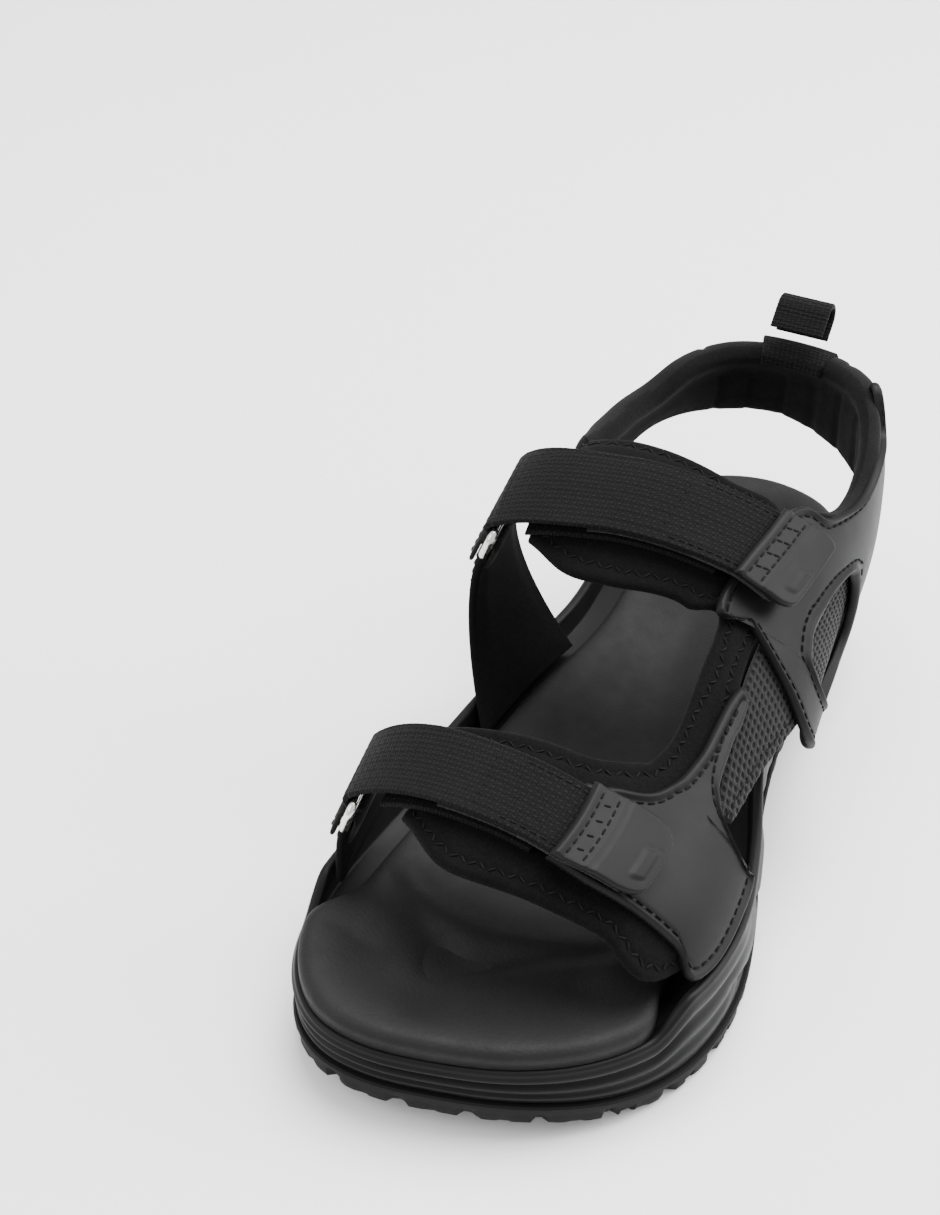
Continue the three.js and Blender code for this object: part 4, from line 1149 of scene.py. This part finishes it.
def build_panel(row):
    """The padded inner side piece, from the ring down to the sole."""
    ends, _, _, _, hang, face = ring_frame(row)

    def path(u, v):
        u, v = pair(u, v)
        bottom, n = last_seat(row["root"], v) if row["root"] else slot_seat(v)
        high = ends[0] + (ends[1] - ends[0]) * v[..., None] + hang * (RING_PITCH + BAR + 2 * GAP)
        knee = high + hang * PAD_BOW * np.linalg.norm(high - bottom, axis=-1, keepdims=True)
        t = u[..., None]
        p = high * (1 - t) ** 2 + knee * 2 * t * (1 - t) + bottom * t * t
        return p, unit(face * (1 - t) + n * t)

    panel = Sheet(path)
    piece = panel.build(
        row["panel"] + "_pad", LINER_CLOTH, "sandal", SIDE_PAD / 2, 1.4, 1.5, 5,
        relief=puff, under=puff, replaced=(row["panel"],),
    )
    for side in (0, 1):
        stitch_row("sandal", *side_line(panel, side, 3.0, 1.75, 0.05, 0.97, 80), 2.1, 0.9, 0.25)


# ------------------------------------------------------------------ pull loop
LOOP_WIDTH, LOOP_HEIGHT, LOOP_GAP, LOOP_WEB = 17, 12.5, 6.4, 1.5
LOOP_LEAN = math.radians(48)
LOOP_LIFT = 4.6
LOOP_PHI = -87.0
SHORT_LEG = 1.6  # the rear leg ends this much higher, clear of the seat when the loop leans back
SEAT_PROFILE = [  # section of the seat over the collar's edge: station and height above the last
    [7.75, 7.3], [7.9, 7.1], [7.98, 5.2], [8.0, 2.6], [7.98, 0.2], [7.9, -1.5], [7.78, -1.6],
]
SEAT_DEGREES = 33  # width of the seat round the heel


def fine_ribs(arc, a, b, d):
    return 0.16 * np.cos(arc * 2 * math.pi / 1.5)


def build_loop():
    base = above(np.array(8.05), np.array(LOOP_PHI), np.array(2.0)) + np.array([0, 0, GAP + LOOP_LIFT])
    radius = LOOP_GAP / 2 + LOOP_WEB / 2
    half_turn = math.pi * radius
    rise = LOOP_HEIGHT - LOOP_GAP / 2 - LOOP_WEB
    lean_up = np.array([0, math.sin(LOOP_LEAN), math.cos(LOOP_LEAN)])
    lean_back = np.array([0, math.cos(LOOP_LEAN), -math.sin(LOOP_LEAN)])

    def path(u, v):
        u, v = pair(u, v)
        arc = u * (2 * rise + half_turn - SHORT_LEG)
        angle = np.clip((arc - rise) / radius, 0, math.pi)[..., None]
        drop = (np.maximum(rise - arc, 0) + np.maximum(arc - rise - half_turn, 0))[..., None]
        turn = -lean_back * np.cos(angle) + lean_up * np.sin(angle)
        spine = base + lean_up * rise + np.array([1.0, 0, 0]) * ((v - 0.5) * LOOP_WIDTH)[..., None]
        return spine + turn * radius - lean_up * drop, turn

    piece = Sheet(path).build(
        "heel_webbing_loop", WEBBING, "heel_loop", LOOP_WEB / 2, 0.7, 0.5, 2, relief=fine_ribs,
        replaced=("pull_loop",),
    )


def build_loop_seat():
    """The webbing folded over the collar's edge, under the loop."""

    def path(u, v):
        u, v = pair(u, v)
        phi = LOOP_PHI + (v - 0.5) * SEAT_DEGREES

        def spot(t, turn):
            place = curve(SEAT_PROFILE, t)
            return above(place[..., 0], phi + turn, place[..., 1])

        run = unit(spot(np.clip(u + 0.01, 0, 1), 0) - spot(np.clip(u - 0.01, 0, 1), 0))
        side = unit(spot(u, 1) - spot(u, -1))
        return spot(u, 0), unit(np.cross(side, run))

    piece = Sheet(path).build("heel_loop_seat", WEBBING, "sandal", 0.7, 0.6, 0.8, 2, relief=fine_ribs)


# ------------------------------------------------------------------ floor, light and camera
FLOOR = 6  # half the floor's width, in metres
CAMERA_AT = (0.18682, -0.48013, 0.48098)
CAMERA_RIGHT = (0.8996, 0.4367, 0.0)
CAMERA_UP = (-0.2688, 0.5538, 0.7881)
CAMERA_AHEAD = (-0.3442, 0.7089, -0.6156)


def build_stage():
    floor_look = Look("studio_floor", roughness=0.55, specular=0.2)
    floor_look.colour(floor_look.noise(0.0015, 2.0).step(0.2, 0.8), (0.90, 0.90, 0.91), (0.93, 0.93, 0.94))
    floor_look.roughness(floor_look.noise(0.02, 3.0), 0.45, 0.6)
    floor_look.bump(floor_look.noise(0.4, 2.0), 0.01, 0.1)
    mesh = bpy.data.meshes.new("studio_floor")
    corners = [(-FLOOR, -FLOOR, 0), (FLOOR, -FLOOR, 0), (FLOOR, FLOOR, 0), (-FLOOR, FLOOR, 0)]
    mesh.from_pydata(corners, [], [(0, 1, 2, 3)])
    mesh.materials.append(floor_look.material)
    floor = bpy.data.objects.new("studio_floor", mesh)
    bpy.context.scene.collection.objects.link(floor)

    world = bpy.data.worlds.new("studio")
    bpy.context.scene.world = world
    world.use_nodes = True
    background = world.node_tree.nodes["Background"]
    background.inputs["Color"].default_value = (1, 1, 1, 1)
    background.inputs["Strength"].default_value = 1.3

    def lamp(name, place, target, size, power):
        light = bpy.data.lights.new(name, "AREA")
        light.shape = "DISK"
        light.size = size
        light.energy = power
        thing = bpy.data.objects.new(name, light)
        bpy.context.scene.collection.objects.link(thing)
        thing.location = place
        thing.rotation_euler = (Vector(target) - Vector(place)).to_track_quat("-Z", "Y").to_euler()

    lamp("overhead", (0.1, 0.35, 1.3), (0, 0, 0.04), 1.1, 40)
    lamp("left_front", (-0.9, -0.7, 0.9), (0, 0, 0.04), 0.9, 8)
    lamp("right_back", (0.9, 0.6, 0.7), (0, 0, 0.05), 0.8, 16)

    camera = bpy.data.cameras.new("camera")
    camera.lens = 68.86
    camera.sensor_width = 36
    camera.clip_start = 0.01
    eye = bpy.data.objects.new("camera", camera)
    bpy.context.scene.collection.objects.link(eye)
    turn = Matrix((CAMERA_RIGHT, CAMERA_UP, tuple(-k for k in CAMERA_AHEAD))).transposed()
    eye.matrix_world = Matrix.Translation(CAMERA_AT) @ turn.to_4x4()
    bpy.context.scene.camera = eye


build_outsole()
build_midsole()
build_footbed()
build_liner()
build_front_wing()
build_rear_wing()
build_meshes()
build_collar()
for strap_set in SETS:
    for build in (build_ring, build_webbing, build_patches, build_tab, build_keeper, build_panel):
        build(strap_set)
build_loop()
build_loop_seat()
finish_stitches(THREAD)
build_stage()
bpy.context.view_layer.update()
